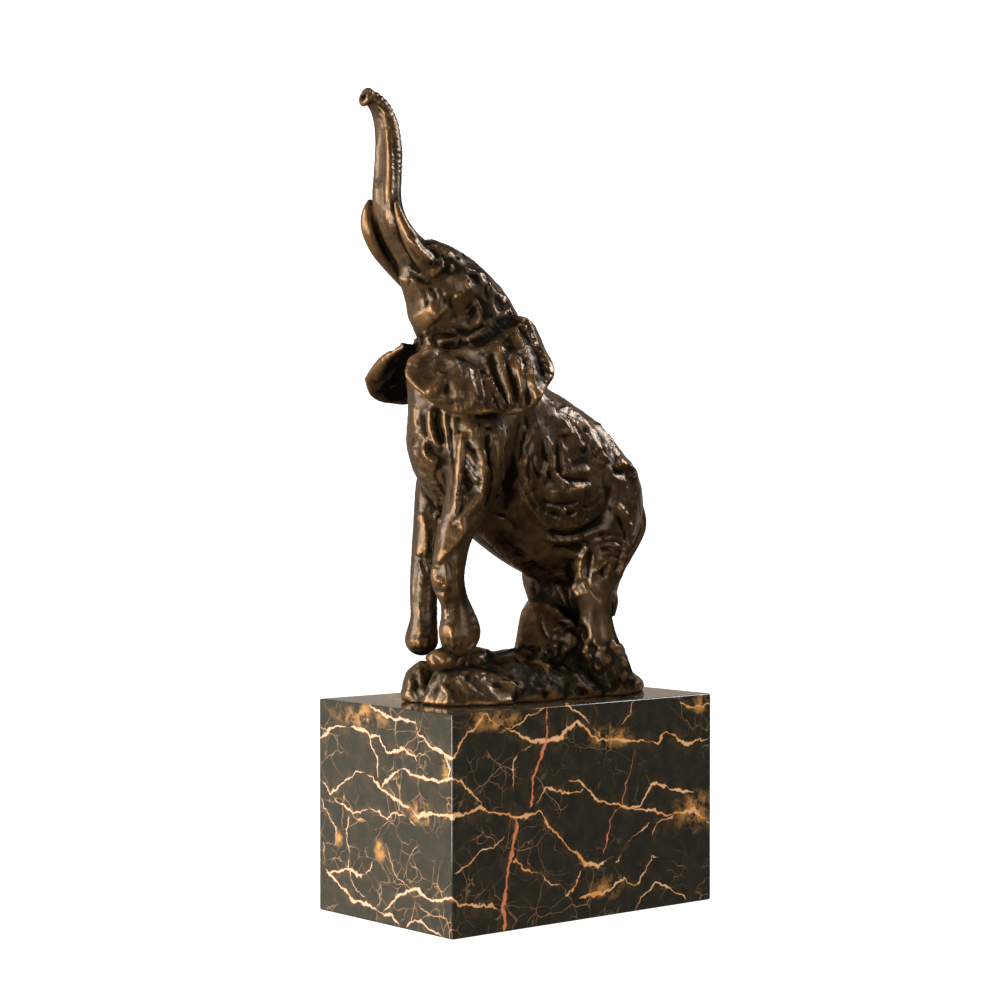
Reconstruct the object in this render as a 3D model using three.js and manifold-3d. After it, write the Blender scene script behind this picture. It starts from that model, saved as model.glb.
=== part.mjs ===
// A small cast bronze elephant that rears up with its forefeet on a rock and its trunk
// raised, on a block of polished veined marble.
// Millimetres, +Z up. The elephant faces -Y and its left side is +X. The origin is the
// centre of the block's underside.

import * as THREE from 'three';
import Module from 'manifold-3d';
import { ConvexGeometry } from 'three/addons/geometries/ConvexGeometry.js';
import { LoftGeometry } from 'three/addons/geometries/LoftGeometry.js';
import { RoundedBoxGeometry } from 'three/addons/geometries/RoundedBoxGeometry.js';
import { mergeVertices } from 'three/addons/utils/BufferGeometryUtils.js';

// ---- driving dimensions

const PLINTH = { width: 90, length: 145, height: 90, edge: 1.2, edgeSteps: 2 };

const BODY_SIDES = 22;
const LIMB_SIDES = 12;
const RING_SPACING = 8;
const MASS_COLUMNS = 18;
const MASS_ROWS = 12;
// Rounded end of a limb: how far each end ring lies beyond the last station, as a share of
// the limb's half width, and how much of its width is left there.
const END_RINGS = [ { push: 0.5, shrink: 0.82 }, { push: 0.85, shrink: 0.45 } ];
const TANGENT_STEP = 0.02;
const EAR_STRIPS = 18;
const EAR_ROWS = 5;

// Body from rump to poll. Each row is one cross-section: where it meets the line of the
// back [y, z], where it meets the line of the belly, chest and throat, and its half width.
const BODY = [
  { back: [ 63, 165 ], belly: [ 57, 153 ], half: 6 },
  { back: [ 65.5, 175 ], belly: [ 52, 145 ], half: 13 },
  { back: [ 61.5, 188 ], belly: [ 40, 140 ], half: 20 },
  { back: [ 50, 200 ], belly: [ 23, 138.5 ], half: 24.5 },
  { back: [ 36, 211.5 ], belly: [ 7, 142 ], half: 27 },
  { back: [ 22, 218.5 ], belly: [ -11, 151 ], half: 26 },
  { back: [ 11, 224 ], belly: [ -30, 164 ], half: 24.5 },
  { back: [ 6, 230 ], belly: [ -46, 177 ], half: 24 },
  { back: [ 3, 237 ], belly: [ -55, 193 ], half: 23 },
  { back: [ 0, 244 ], belly: [ -55, 210 ], half: 21 },
  { back: [ -3, 250 ], belly: [ -56, 225 ], half: 19 },
  { back: [ -6, 257 ], belly: [ -51, 238 ], half: 17 },
  { back: [ -11, 262.5 ], belly: [ -51, 247.5 ], half: 16 },
  { back: [ -19, 269.5 ], belly: [ -55, 255.5 ], half: 16 },
  { back: [ -28, 275.5 ], belly: [ -58, 263 ], half: 15 },
  { back: [ -39, 280.5 ], belly: [ -60.5, 269 ], half: 13 },
  { back: [ -48, 283 ], belly: [ -63, 276 ], half: 10 },
];

// Masses of the jaw, lip, left and right cheek, and rump: centre, half sizes, and the pitch
// about X in degrees.
const MASSES = [
  { at: [ 0, -44.5, 254 ], size: [ 12.5, 12, 11.5 ], pitch: 0 },
  { at: [ 0, -57, 262.5 ], size: [ 5, 2.8, 8 ], pitch: 30 },
  { at: [ 9, -42, 262 ], size: [ 7, 10, 8 ], pitch: -35 },
  { at: [ -9, -42, 262 ], size: [ 7, 10, 8 ], pitch: -35 },
  { at: [ 0, 53, 166 ], size: [ 10, 12, 15 ], pitch: -20 },
];

// Limbs as stations from root to tip: centre, half width across and half depth fore and aft.
const TRUNK = [
  { at: [ 0, -42, 264 ], half: [ 11, 10 ] },
  { at: [ 0, -53, 272.5 ], half: [ 10, 9 ] },
  { at: [ 0, -61.5, 280.5 ], half: [ 8.2, 7 ] },
  { at: [ -1, -67.4, 289 ], half: [ 7.4, 6.4 ] },
  { at: [ -2, -69.3, 298.5 ], half: [ 6.6, 6.2 ] },
  { at: [ -3.4, -67.8, 309 ], half: [ 6.3, 6.1 ] },
  { at: [ -4.5, -66.5, 320 ], half: [ 5.9, 5.9 ] },
  { at: [ -6, -66.5, 329.5 ], half: [ 5.3, 5.4 ] },
  { at: [ -7, -68.5, 336 ], half: [ 4.5, 4.7 ] },
  { at: [ -7.6, -71.5, 339.4 ], half: [ 3.9, 3.9 ] },
  { at: [ -8.1, -73.6, 340.5 ], half: [ 3.6, 3.6 ] },
];
const TRUNK_FLAT = 0.55;
const NOSTRILS = { radius: 1.9, taper: 0.5, from: [ -8.2, -79, 342.3 ], to: [ -7.7, -73.5, 340 ] };

const LEFT_TUSK = [
  { at: [ 9, -46, 264 ], half: [ 4.2, 4.2 ] },
  { at: [ 9.8, -52.5, 268.5 ], half: [ 4.4, 4.4 ] },
  { at: [ 10.2, -60.5, 275 ], half: [ 3.8, 3.8 ] },
  { at: [ 9.8, -66, 281.5 ], half: [ 3, 3 ] },
  { at: [ 8.4, -69.6, 289.5 ], half: [ 2.1, 2.1 ] },
  { at: [ 7, -71.2, 296.5 ], half: [ 1, 1 ] },
];
const RIGHT_TUSK = [
  { at: [ -9.5, -53, 266.5 ], half: [ 3.6, 3.6 ] },
  { at: [ -10.5, -60.5, 273.5 ], half: [ 3.8, 3.8 ] },
  { at: [ -11, -67, 280 ], half: [ 3.7, 3.7 ] },
  { at: [ -11, -71.3, 287.5 ], half: [ 3.4, 3.4 ] },
  { at: [ -10.8, -72.2, 293.5 ], half: [ 2.5, 2.5 ] },
  { at: [ -10.2, -71.5, 298.3 ], half: [ 1.2, 1.2 ] },
];
const LEFT_FORELEG = [
  { at: [ 15, -31, 210 ], half: [ 11, 14 ] },
  { at: [ 17, -36, 195.5 ], half: [ 11.5, 13 ] },
  { at: [ 17, -41.5, 175 ], half: [ 9.5, 9.5 ] },
  { at: [ 17, -48.5, 160.5 ], half: [ 7.2, 7.5 ] },
  { at: [ 17, -51.5, 148 ], half: [ 6.5, 7 ] },
  { at: [ 17, -51.6, 140.5 ], half: [ 6.3, 6.8 ] },
  { at: [ 17, -48.6, 133.5 ], half: [ 5.6, 5.9 ] },
  { at: [ 17, -46.8, 127 ], half: [ 6.4, 7.4 ] },
  { at: [ 17, -45.8, 120.5 ], half: [ 7.8, 9.2 ] },
  { at: [ 17, -46.6, 117.5 ], half: [ 7.4, 7.4 ] },
];
const RIGHT_FORELEG = [
  { at: [ -17, -20, 200 ], half: [ 11, 14 ] },
  { at: [ -17, -28, 183 ], half: [ 10, 11 ] },
  { at: [ -17, -33, 166 ], half: [ 8, 8.2 ] },
  { at: [ -16.5, -36, 151 ], half: [ 6.8, 7.2 ] },
  { at: [ -17, -37.8, 137 ], half: [ 5.8, 6.2 ] },
  { at: [ -16.5, -38.2, 125 ], half: [ 5.6, 5.8 ] },
  { at: [ -16.5, -39.4, 115.3 ], half: [ 7.5, 7 ] },
];
const LEFT_HIND_LEG = [
  { at: [ 13, 36, 182 ], half: [ 12, 19 ] },
  { at: [ 16, 35, 165 ], half: [ 11.5, 16 ] },
  { at: [ 18, 31.5, 148 ], half: [ 9.5, 13 ] },
  { at: [ 19, 27.5, 137 ], half: [ 7.5, 9.5 ] },
  { at: [ 19, 27.8, 127 ], half: [ 7, 7.3 ] },
  { at: [ 19, 29, 116 ], half: [ 8, 8.2 ] },
  { at: [ 19, 32, 105 ], half: [ 10, 10 ] },
  { at: [ 19, 34, 95 ], half: [ 12, 12 ] },
];
const RIGHT_HIND_LEG = [
  { at: [ -13, 38, 178 ], half: [ 12, 18 ] },
  { at: [ -16, 33, 156 ], half: [ 11, 14 ] },
  { at: [ -17, 28.5, 140 ], half: [ 8.5, 8.6 ] },
  { at: [ -17, 29.5, 129 ], half: [ 6.6, 6.4 ] },
  { at: [ -17, 29, 118 ], half: [ 7.5, 8 ] },
  { at: [ -17, 33, 102 ], half: [ 9.5, 11 ] },
];
const TAIL = [
  { at: [ 1, 63, 178 ], half: [ 3, 3 ] },
  { at: [ 4, 66.5, 170 ], half: [ 3.2, 3.2 ] },
  { at: [ 5.5, 67, 162 ], half: [ 2.9, 2.9 ] },
  { at: [ 7, 62.5, 154.5 ], half: [ 2.2, 2.2 ] },
  { at: [ 8.5, 55.5, 147 ], half: [ 1.9, 1.9 ] },
  { at: [ 10, 49.5, 140.5 ], half: [ 1.9, 1.9 ] },
  { at: [ 11.5, 44.5, 134 ], half: [ 2.4, 2.4 ] },
  { at: [ 12, 43.5, 129.5 ], half: [ 3.3, 3.3 ] },
  { at: [ 12, 44.5, 124 ], half: [ 1.4, 1.4 ] },
];

// Ears from their front edge to their back edge: the line where they leave the head, the
// free edge, and the way their outer face looks. Folds fan out from the root: place along
// the ear from 0 to 1, half width, height, and how far from the root they start.
const LEFT_EAR = {
  root: [ [ 14, -54, 236 ], [ 16, -48, 235.5 ], [ 17, -39, 237.5 ], [ 17, -29.5, 243 ], [ 14.5, -14, 250 ] ],
  edge: [
    [ 13, -68, 232 ], [ 14.5, -71, 225 ], [ 22, -67, 217.5 ], [ 27, -60.5, 213 ],
    [ 31, -50, 210.5 ], [ 35, -42, 211.5 ], [ 38, -31, 210.5 ], [ 40, -23.5, 216.5 ],
    [ 37, -13.5, 227 ], [ 23, -8.5, 239 ], [ 16.5, -9.5, 247 ],
  ],
  face: [ 0.85, -0.4, 0.2 ],
  bulge: 3.4,
  folds: [
    [ 0.1, 0.09, 1.6, 0.1 ], [ 0.27, 0.06, -2, 0.25 ], [ 0.4, 0.07, 2.4, 0.15 ],
    [ 0.49, 0.035, -2, 0.2 ], [ 0.69, 0.05, 3, 0 ], [ 0.79, 0.05, -2.6, 0 ],
  ],
};
const RIGHT_EAR = {
  root: [ [ -13, -52, 238 ], [ -16, -44, 239 ], [ -17, -34, 243 ], [ -17, -24, 247 ], [ -14, -16, 250 ] ],
  edge: [
    [ -38, -52, 226 ], [ -42, -45.5, 219.5 ], [ -42, -36, 216.5 ], [ -40, -26, 217 ],
    [ -41, -16, 222 ], [ -38, -7, 231 ], [ -30, -4, 241 ], [ -19, -6, 249 ],
  ],
  face: [ -0.8, -0.05, 0.5 ],
  bulge: 2,
  folds: [
    [ 0.3, 0.08, 1.2, 0.3 ], [ 0.55, 0.08, 1.5, 0.3 ], [ 0.72, 0.06, -1.2, 0.3 ],
  ],
};
const EAR_HALF_THICKNESS = 1.5;
// The sheet is this many times as thick at its root and at its free edge.
const EAR_ROOT_THICKNESS = 1.3;
const EAR_EDGE_THICKNESS = 0.8;

// Rocky ground: rings of the low mound, each the outline drawn in towards the ridge, then
// the single rocks that stand on it.
const MOUND_OUTLINE = [
  [ -14, -50 ], [ 6, -52 ], [ 24, -42 ], [ 27, -20 ], [ 26, 4 ], [ 27, 26 ], [ 25, 48 ],
  [ 12, 64 ], [ -10, 64 ], [ -24, 48 ], [ -27, 20 ], [ -26, -10 ], [ -24, -36 ],
];
const MOUND_LEVELS = [
  { z: 86, scale: 1 },
  { z: 94, scale: 0.98 },
  { z: 99, scale: 0.84 },
  { z: 104, scale: 0.6 },
  { z: 107.5, scale: 0.3 },
];
const MOUND_CENTRE = [ 0, 4 ];
// Share of the mound's length that its ridge keeps however far the rings are drawn in.
const MOUND_RIDGE = 0.35;
const ROCKS = [
  { at: [ -10, -41, 97 ], size: [ 11, 12, 13 ], turn: 20 },
  { at: [ -7, -43, 91 ], size: [ 14, 12, 7 ], turn: 30 },
  { at: [ 10, -42, 95 ], size: [ 14, 13, 10.5 ], turn: 50 },
  { at: [ 11, -49, 109 ], size: [ 6.2, 6.2, 5.2 ], turn: 0 },
  { at: [ 14, 37, 94 ], size: [ 14, 17, 10 ], turn: 10 },
  { at: [ -12, 36, 95 ], size: [ 14, 19, 11 ], turn: -15 },
  { at: [ 6, 58, 90 ], size: [ 12, 10, 5 ], turn: 30 },
];
const ROCK_DETAIL = 1;
// Block that trims the rocky ground flat where it meets the plinth, wider than the ground.
const CUT_WIDTH = 400;
const CUT_DEPTH = 100;
const BOULDER = [
  [ -10, 12, 127 ], [ 2, 8, 127.5 ], [ 14, 26, 118 ], [ 2, 32, 120 ],
  [ -13, 14, 117 ], [ 6, -1, 119 ],
  [ -14, 8, 100 ], [ 8, -9, 100 ], [ 22, 26, 98 ], [ 4, 44, 98 ], [ -18, 34, 98 ],
];

// ---- solids and their joining

const MERGE_TOLERANCE = 1e-4;
const wasm = await Module();
wasm.setup();

function toSolid( geometry ) {

  const bare = new THREE.BufferGeometry();
  bare.setAttribute( 'position', geometry.attributes.position );
  bare.setIndex( geometry.index );
  const merged = mergeVertices( bare, MERGE_TOLERANCE );
  return new wasm.Manifold( new wasm.Mesh( {
    numProp: 3,
    vertProperties: new Float32Array( merged.attributes.position.array ),
    triVerts: new Uint32Array( merged.index.array ),
  } ) );

}

function toGeometry( solid ) {

  const { numProp, vertProperties, triVerts } = solid.getMesh();
  const positions = [];
  for ( let i = 0; i < vertProperties.length; i += numProp ) {

    positions.push( vertProperties[ i ], vertProperties[ i + 1 ], vertProperties[ i + 2 ] );

  }

  const geometry = new THREE.BufferGeometry();
  geometry.setAttribute( 'position', new THREE.Float32BufferAttribute( positions, 3 ) );
  geometry.setIndex( Array.from( triVerts ) );
  geometry.computeVertexNormals();
  return geometry;

}

// ---- lofts

// Smooth curve through rows of numbers, read at any place from 0 to 1.
function smoothRows( rows ) {

  const last = rows.length - 1;
  return ( place ) => {

    const along = Math.min( Math.max( place, 0 ), 1 ) * last;
    const i = Math.min( Math.floor( along ), last - 1 );
    const f = along - i;
    const a = rows[ Math.max( i - 1, 0 ) ];
    const b = rows[ i ];
    const c = rows[ i + 1 ];
    const d = rows[ Math.min( i + 2, last ) ];
    return b.map( ( value, k ) => {

      const slopeIn = ( c[ k ] - a[ k ] ) / 2;
      const slopeOut = ( d[ k ] - b[ k ] ) / 2;
      const rise = c[ k ] - value;
      const bend = 3 * rise - 2 * slopeIn - slopeOut;
      const twist = slopeIn + slopeOut - 2 * rise;
      return value + f * ( slopeIn + f * ( bend + f * twist ) );

    } );

  };

}

function ellipse( centre, across, fore, half, sides, flat = 1 ) {

  const ring = [];
  for ( let i = 0; i < sides; i ++ ) {

    const angle = ( i / sides ) * Math.PI * 2;
    const depth = Math.max( Math.sin( angle ), - flat );
    ring.push( centre.clone()
      .addScaledVector( across, Math.cos( angle ) * half[ 0 ] )
      .addScaledVector( fore, depth * half[ 1 ] ) );

  }

  return ring;

}

// A limb through its stations, rounded off at both ends. flat below 1 cuts its front side
// to a plane at that share of its half depth.
function limb( stations, flat = 1 ) {

  const rows = smoothRows( stations.map( ( s ) => [ ...s.at, ...s.half ] ) );
  const curve = new THREE.CatmullRomCurve3( stations.map( ( s ) => new THREE.Vector3( ...s.at ) ) );
  const steps = Math.max( stations.length, Math.ceil( curve.getLength() / RING_SPACING ) );
  const rings = [];

  function addRing( place, push, shrink ) {

    const row = rows( place );
    const centre = new THREE.Vector3( row[ 0 ], row[ 1 ], row[ 2 ] );
    const ahead = new THREE.Vector3( ...rows( place + TANGENT_STEP ).slice( 0, 3 ) );
    const behind = new THREE.Vector3( ...rows( place - TANGENT_STEP ).slice( 0, 3 ) );
    const tangent = ahead.sub( behind ).normalize();
    const across = new THREE.Vector3( 1, 0, 0 ).addScaledVector( tangent, - tangent.x ).normalize();
    const fore = new THREE.Vector3().crossVectors( tangent, across );
    const reach = Math.min( row[ 3 ], row[ 4 ] );
    centre.addScaledVector( tangent, push * reach );
    rings.push( ellipse( centre, across, fore, [ row[ 3 ] * shrink, row[ 4 ] * shrink ], LIMB_SIDES, flat ) );

  }

  for ( const { push, shrink } of END_RINGS.toReversed() ) addRing( 0, - push, shrink );
  for ( let i = 0; i <= steps; i ++ ) addRing( i / steps, 0, 1 );
  for ( const { push, shrink } of END_RINGS ) addRing( 1, push, shrink );
  return toSolid( new LoftGeometry( rings, { capStart: true, capEnd: true } ) );

}

function body() {

  const rows = smoothRows( BODY.map( ( s ) => [ ...s.back, ...s.belly, s.half ] ) );
  const steps = ( BODY.length - 1 ) * 2;
  const rings = [];
  for ( let i = 0; i <= steps; i ++ ) {

    const [ backY, backZ, bellyY, bellyZ, half ] = rows( i / steps );
    const centre = new THREE.Vector3( 0, ( backY + bellyY ) / 2, ( backZ + bellyZ ) / 2 );
    const rise = new THREE.Vector3( 0, backY - bellyY, backZ - bellyZ );
    const depth = rise.length() / 2;
    const across = new THREE.Vector3( 1, 0, 0 );
    rings.push( ellipse( centre, across, rise.normalize(), [ half, depth ], BODY_SIDES ) );

  }

  return toSolid( new LoftGeometry( rings, { capStart: true, capEnd: true } ) );

}

function ellipsoid( { at, size, pitch } ) {

  const geometry = new THREE.SphereGeometry( 1, MASS_COLUMNS, MASS_ROWS );
  geometry.scale( ...size );
  geometry.rotateX( THREE.MathUtils.degToRad( pitch ) );
  geometry.translate( ...at );
  return toSolid( geometry );

}

// A thick, cupped and folded sheet between its root on the head and its free edge.
function ear( { root, edge, face, bulge, folds } ) {

  const rootAt = smoothRows( root );
  const edgeAt = smoothRows( edge );
  const outward = new THREE.Vector3( ...face ).normalize();
  const strips = [];
  for ( let i = 0; i <= EAR_STRIPS; i ++ ) {

    const place = i / EAR_STRIPS;
    const from = new THREE.Vector3( ...rootAt( place ) );
    const to = new THREE.Vector3( ...edgeAt( place ) );
    const outer = [];
    const inner = [];
    for ( let j = 0; j <= EAR_ROWS; j ++ ) {

      const t = j / EAR_ROWS;
      let height = bulge * Math.sin( Math.PI * t );
      for ( const [ where, width, rise, start ] of folds ) {

        const grow = Math.max( 0, ( t - start ) / ( 1 - start ) );
        height += rise * grow * Math.exp( - ( ( ( place - where ) / width ) ** 2 ) );

      }

      const middle = from.clone().lerp( to, t ).addScaledVector( outward, height );
      const half = EAR_HALF_THICKNESS * THREE.MathUtils.lerp( EAR_ROOT_THICKNESS, EAR_EDGE_THICKNESS, t );
      outer.push( middle.clone().addScaledVector( outward, half ) );
      inner.push( middle.clone().addScaledVector( outward, - half ) );

    }

    const strip = [ ...outer, ...inner.reverse() ];
    strips.push( outward.x > 0 ? strip : strip.reverse() );

  }

  return toSolid( new LoftGeometry( strips, { capStart: true, capEnd: true } ) );

}

function mound() {

  const rings = MOUND_LEVELS.map( ( { z, scale } ) => MOUND_OUTLINE.map( ( [ x, y ] ) => new THREE.Vector3(
    MOUND_CENTRE[ 0 ] + ( x - MOUND_CENTRE[ 0 ] ) * scale,
    MOUND_CENTRE[ 1 ] + ( y - MOUND_CENTRE[ 1 ] ) * THREE.MathUtils.lerp( MOUND_RIDGE, 1, scale ),
    z,
  ) ) );
  return toSolid( new LoftGeometry( rings, { capStart: true, capEnd: true } ) );

}

function rock( { at, size, turn } ) {

  const geometry = new THREE.IcosahedronGeometry( 1, ROCK_DETAIL );
  geometry.scale( ...size );
  geometry.rotateZ( THREE.MathUtils.degToRad( turn ) );
  geometry.translate( ...at );
  return toSolid( geometry );

}

function boulder() {

  return toSolid( new ConvexGeometry( BOULDER.map( ( corner ) => new THREE.Vector3( ...corner ) ) ) );

}

function nostrils() {

  const { radius, taper, from, to } = NOSTRILS;
  return limb( [
    { at: from, half: [ radius, radius ] },
    { at: to, half: [ radius * taper, radius * taper ] },
  ] );

}

function groundPlane() {

  const below = new THREE.BoxGeometry( CUT_WIDTH, CUT_WIDTH, CUT_DEPTH );
  below.translate( 0, 0, PLINTH.height - CUT_DEPTH / 2 );
  return toSolid( below );

}

function bronzeElephant() {

  let solid = body();
  const pieces = [
    ...MASSES.map( ( mass ) => ellipsoid( mass ) ),
    limb( TRUNK, TRUNK_FLAT ),
    limb( LEFT_TUSK ),
    limb( RIGHT_TUSK ),
    limb( LEFT_FORELEG ),
    limb( RIGHT_FORELEG ),
    limb( LEFT_HIND_LEG ),
    limb( RIGHT_HIND_LEG ),
    limb( TAIL ),
    ear( LEFT_EAR ),
    ear( RIGHT_EAR ),
    mound(),
    boulder(),
    ...ROCKS.map( ( stone ) => rock( stone ) ),
  ];
  for ( const piece of pieces ) solid = solid.add( piece );
  solid = solid.subtract( nostrils() ).subtract( groundPlane() );
  return toGeometry( solid );

}

function marblePlinth() {

  const { width, length, height, edge, edgeSteps } = PLINTH;
  const geometry = new RoundedBoxGeometry( width, length, height, edgeSteps, edge );
  geometry.translate( 0, 0, height / 2 );
  return geometry;

}

// ---- the object

const bronze = new THREE.MeshStandardMaterial( { color: 0x4a3420, roughness: 0.38, metalness: 0.9 } );
const marble = new THREE.MeshStandardMaterial( { color: 0x17130f, roughness: 0.12, metalness: 0 } );

const object = new THREE.Group();

function addPiece( name, geometry, material ) {

  const mesh = new THREE.Mesh( geometry, material );
  mesh.name = name;
  object.add( mesh );

}

addPiece( 'bronze_elephant', bronzeElephant(), bronze );
addPiece( 'marble_plinth', marblePlinth(), marble );

export default object;
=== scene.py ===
"""A cast bronze elephant that rears on a rock with its trunk raised, on a block of polished
veined marble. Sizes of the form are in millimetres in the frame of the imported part: the
elephant faces -Y, its left side is +X, and the origin is under the middle of the block."""

import math

import bmesh
import bpy
import numpy as np
from bpy.props import FloatProperty, FloatVectorProperty, PointerProperty
from mathutils import Matrix, Vector


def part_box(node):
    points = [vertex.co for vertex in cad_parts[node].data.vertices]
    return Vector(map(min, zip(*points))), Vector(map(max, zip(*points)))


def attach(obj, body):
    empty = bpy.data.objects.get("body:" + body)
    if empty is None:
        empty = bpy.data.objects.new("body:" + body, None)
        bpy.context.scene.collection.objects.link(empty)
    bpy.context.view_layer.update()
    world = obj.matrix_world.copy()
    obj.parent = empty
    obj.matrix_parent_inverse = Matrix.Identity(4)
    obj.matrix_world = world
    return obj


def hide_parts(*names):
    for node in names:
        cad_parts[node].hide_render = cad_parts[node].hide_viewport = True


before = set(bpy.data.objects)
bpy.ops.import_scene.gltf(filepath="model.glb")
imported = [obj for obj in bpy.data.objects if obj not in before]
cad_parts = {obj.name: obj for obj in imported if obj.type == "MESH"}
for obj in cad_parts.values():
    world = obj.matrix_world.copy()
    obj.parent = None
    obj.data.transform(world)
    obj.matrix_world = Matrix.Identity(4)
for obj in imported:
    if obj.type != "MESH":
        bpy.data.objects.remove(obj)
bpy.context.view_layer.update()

bl_info = {
    "name": "Rearing bronze elephant",
    "version": (1, 0, 0),
    "blender": (4, 5, 0),
    "location": "3D View > Sidebar > Elephant",
    "description": "Models a patinated bronze elephant on a veined marble block",
    "category": "Object",
}

PLINTH_LOW, PLINTH_HIGH = (np.array(corner) * 1000 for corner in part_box("marble_plinth"))
GROUND = float(PLINTH_HIGH[2])
MOST_TRIANGLES = 196000


# ---------------------------------------------------------------- sizes of the elephant

# Body from rump to poll: where each section meets the back and the belly [y, z], half width.
BODY = [
    ((63, 165), (57, 153), 6), ((65.5, 175), (52, 145), 13), ((61.5, 188), (40, 140), 20),
    ((50, 200), (23, 138.5), 24.5), ((36, 211.5), (7, 142), 27), ((22, 218.5), (-11, 151), 26),
    ((11, 224), (-30, 164), 24.5), ((6, 230), (-46, 177), 24), ((3, 237), (-55, 193), 23),
    ((0, 244), (-55, 210), 21), ((-3, 250), (-56, 225), 19), ((-6, 257), (-51, 238), 17),
    ((-11, 262.5), (-51, 247.5), 16), ((-19, 269.5), (-55, 255.5), 16), ((-28, 275.5), (-58, 263), 15),
    ((-39, 280.5), (-60.5, 269), 13), ((-48, 283), (-63, 276), 10),
]
# Limbs: stations of x, y, z, half width across and half depth fore and aft.
TRUNK = [
    (0, -42, 264, 11, 10), (0, -53, 272.5, 10, 9), (0, -61.5, 280.5, 8.2, 7), (-1, -67.4, 289, 7.4, 6.4),
    (-2, -69.3, 298.5, 6.6, 6.2), (-3.4, -67.8, 309, 6.3, 6.1), (-4.5, -66.5, 320, 5.9, 5.9),
    (-6, -66.5, 329.5, 5.3, 5.4), (-7, -68.5, 336, 4.5, 4.7), (-7.6, -71.5, 339.4, 3.9, 3.9),
    (-8.1, -73.6, 340.5, 3.6, 3.6),
]
LEFT_TUSK = [(9, -46, 264, 4.2), (9.8, -52.5, 268.5, 4.4), (10.2, -60.5, 275, 3.8),
             (9.8, -66, 281.5, 3), (8.4, -69.6, 289.5, 2.1), (7, -71.2, 296.5, 1)]
RIGHT_TUSK = [(-9.5, -53, 266.5, 3.6), (-10.5, -60.5, 273.5, 3.8), (-11, -67, 280, 3.7),
              (-11, -71.3, 287.5, 3.4), (-10.8, -72.2, 293.5, 2.5), (-10.2, -71.5, 298.3, 1.2)]
LEFT_FORELEG = [
    (15, -31, 210, 11, 14), (17, -36, 195.5, 11.5, 13), (17, -41.5, 175, 9.5, 9.5),
    (17, -48.5, 160.5, 7.2, 7.5), (17, -51.5, 148, 6.5, 7), (17, -51.6, 140.5, 6.3, 6.8),
    (17, -48.6, 133.5, 5.6, 5.9), (17, -46.8, 127, 6.4, 7.4), (17, -45.8, 120.5, 7.8, 9.2),
    (17, -46.6, 117.5, 7.4, 7.4),
]
RIGHT_FORELEG = [
    (-17, -20, 200, 11, 14), (-17, -28, 183, 10, 11), (-17, -33, 166, 8, 8.2), (-16.5, -36, 151, 6.8, 7.2),
    (-17, -37.8, 137, 5.8, 6.2), (-16.5, -38.2, 125, 5.6, 5.8), (-16.5, -39.4, 115.3, 7.5, 7),
]
LEFT_HIND_LEG = [
    (13, 36, 182, 12, 19), (16, 35, 165, 11.5, 16), (18, 31.5, 148, 9.5, 13), (19, 27.5, 137, 7.5, 9.5),
    (19, 27.8, 127, 7, 7.3), (19, 29, 116, 8, 8.2), (19, 32, 105, 10, 10), (19, 34, 95, 12, 12),
]
RIGHT_HIND_LEG = [
    (-13, 38, 178, 12, 18), (-16, 33, 156, 11, 14), (-17, 28.5, 140, 8.5, 8.6), (-17, 29.5, 129, 6.6, 6.4),
    (-17, 29, 118, 7.5, 8), (-17, 33, 102, 9.5, 11),
]
TAIL = [(1, 63, 178, 3), (4, 66.5, 170, 3.2), (5.5, 67, 162, 2.9), (7, 62.5, 154.5, 2.2),
        (8.5, 55.5, 147, 1.9), (10, 49.5, 140.5, 1.9), (11.5, 44.5, 134, 2.4), (12, 43.5, 129.5, 3.3),
        (12, 44.5, 124, 1.4)]
TRUNK_FLAT = 0.55
# Each limb with the softness of the fillet where it joins.
LIMBS = [(LEFT_TUSK, 1.2), (RIGHT_TUSK, 1.2), (LEFT_FORELEG, 4), (RIGHT_FORELEG, 4),
         (LEFT_HIND_LEG, 5), (RIGHT_HIND_LEG, 5), (TAIL, 1.5)]
# Rounded masses: middle, half sizes, fillet, and by how many degrees the far end is raised.
RUMP_AND_FACE = [
    ((0, 53, 166), (10, 12, 15), 8, -20),
    ((0, -44.5, 254), (12.5, 12, 11.5), 4, 0),
    ((0, -57, 262.5), (5, 2.8, 8), 5, 30),
    ((9, -42, 262), (7, 10, 8), 3, -35),
    ((-9, -42, 262), (7, 10, 8), 3, -35),
]
GROUND_MASSES = [((2, -27, 103), (11, 12, 9), 4, 0), ((0, 34, 138), (15, 9, 19), 6, -20)]
STONE_UNDER_FOOT = ((13, -51.5, 109.3), (6.6, 6.2, 4.6), 0.8, 0)
TRUNK_TIP = (-8.3, -75, 340.9)
TIP_AHEAD = (-0.12, -0.94, 0.3)
# Ears: the line where they leave the head, the free edge, and the way the outer face looks.
# Folds fan out from the root: place along the ear, width, height, start.
LEFT_EAR = {
    "root": [(14, -54, 236), (16, -48, 235.5), (17, -39, 237.5), (17, -29.5, 243), (14.5, -14, 250)],
    "edge": [(13, -68, 232), (14.5, -71, 225), (22, -67, 217.5), (27, -60.5, 213), (31, -50, 210.5),
             (35, -42, 211.5), (38, -31, 211.5), (39, -25.5, 214.5), (40, -21.5, 219.5), (38, -13, 228),
             (26.5, -8, 237), (18.5, -7, 247)],
    "face": (0.85, -0.4, 0.2), "bulge": 3.4,
    "folds": [(0.1, 0.09, 1.6, 0.1), (0.27, 0.06, -2, 0.25), (0.4, 0.07, 2.4, 0.15), (0.49, 0.035, -2, 0.2),
              (0.69, 0.05, 3, 0), (0.79, 0.05, -2.6, 0)],
}
LEFT_EAR_SHEET = [(22, -62, 226), (28, -48, 225), (30, -36, 226), (31, -25, 229)]
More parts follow.
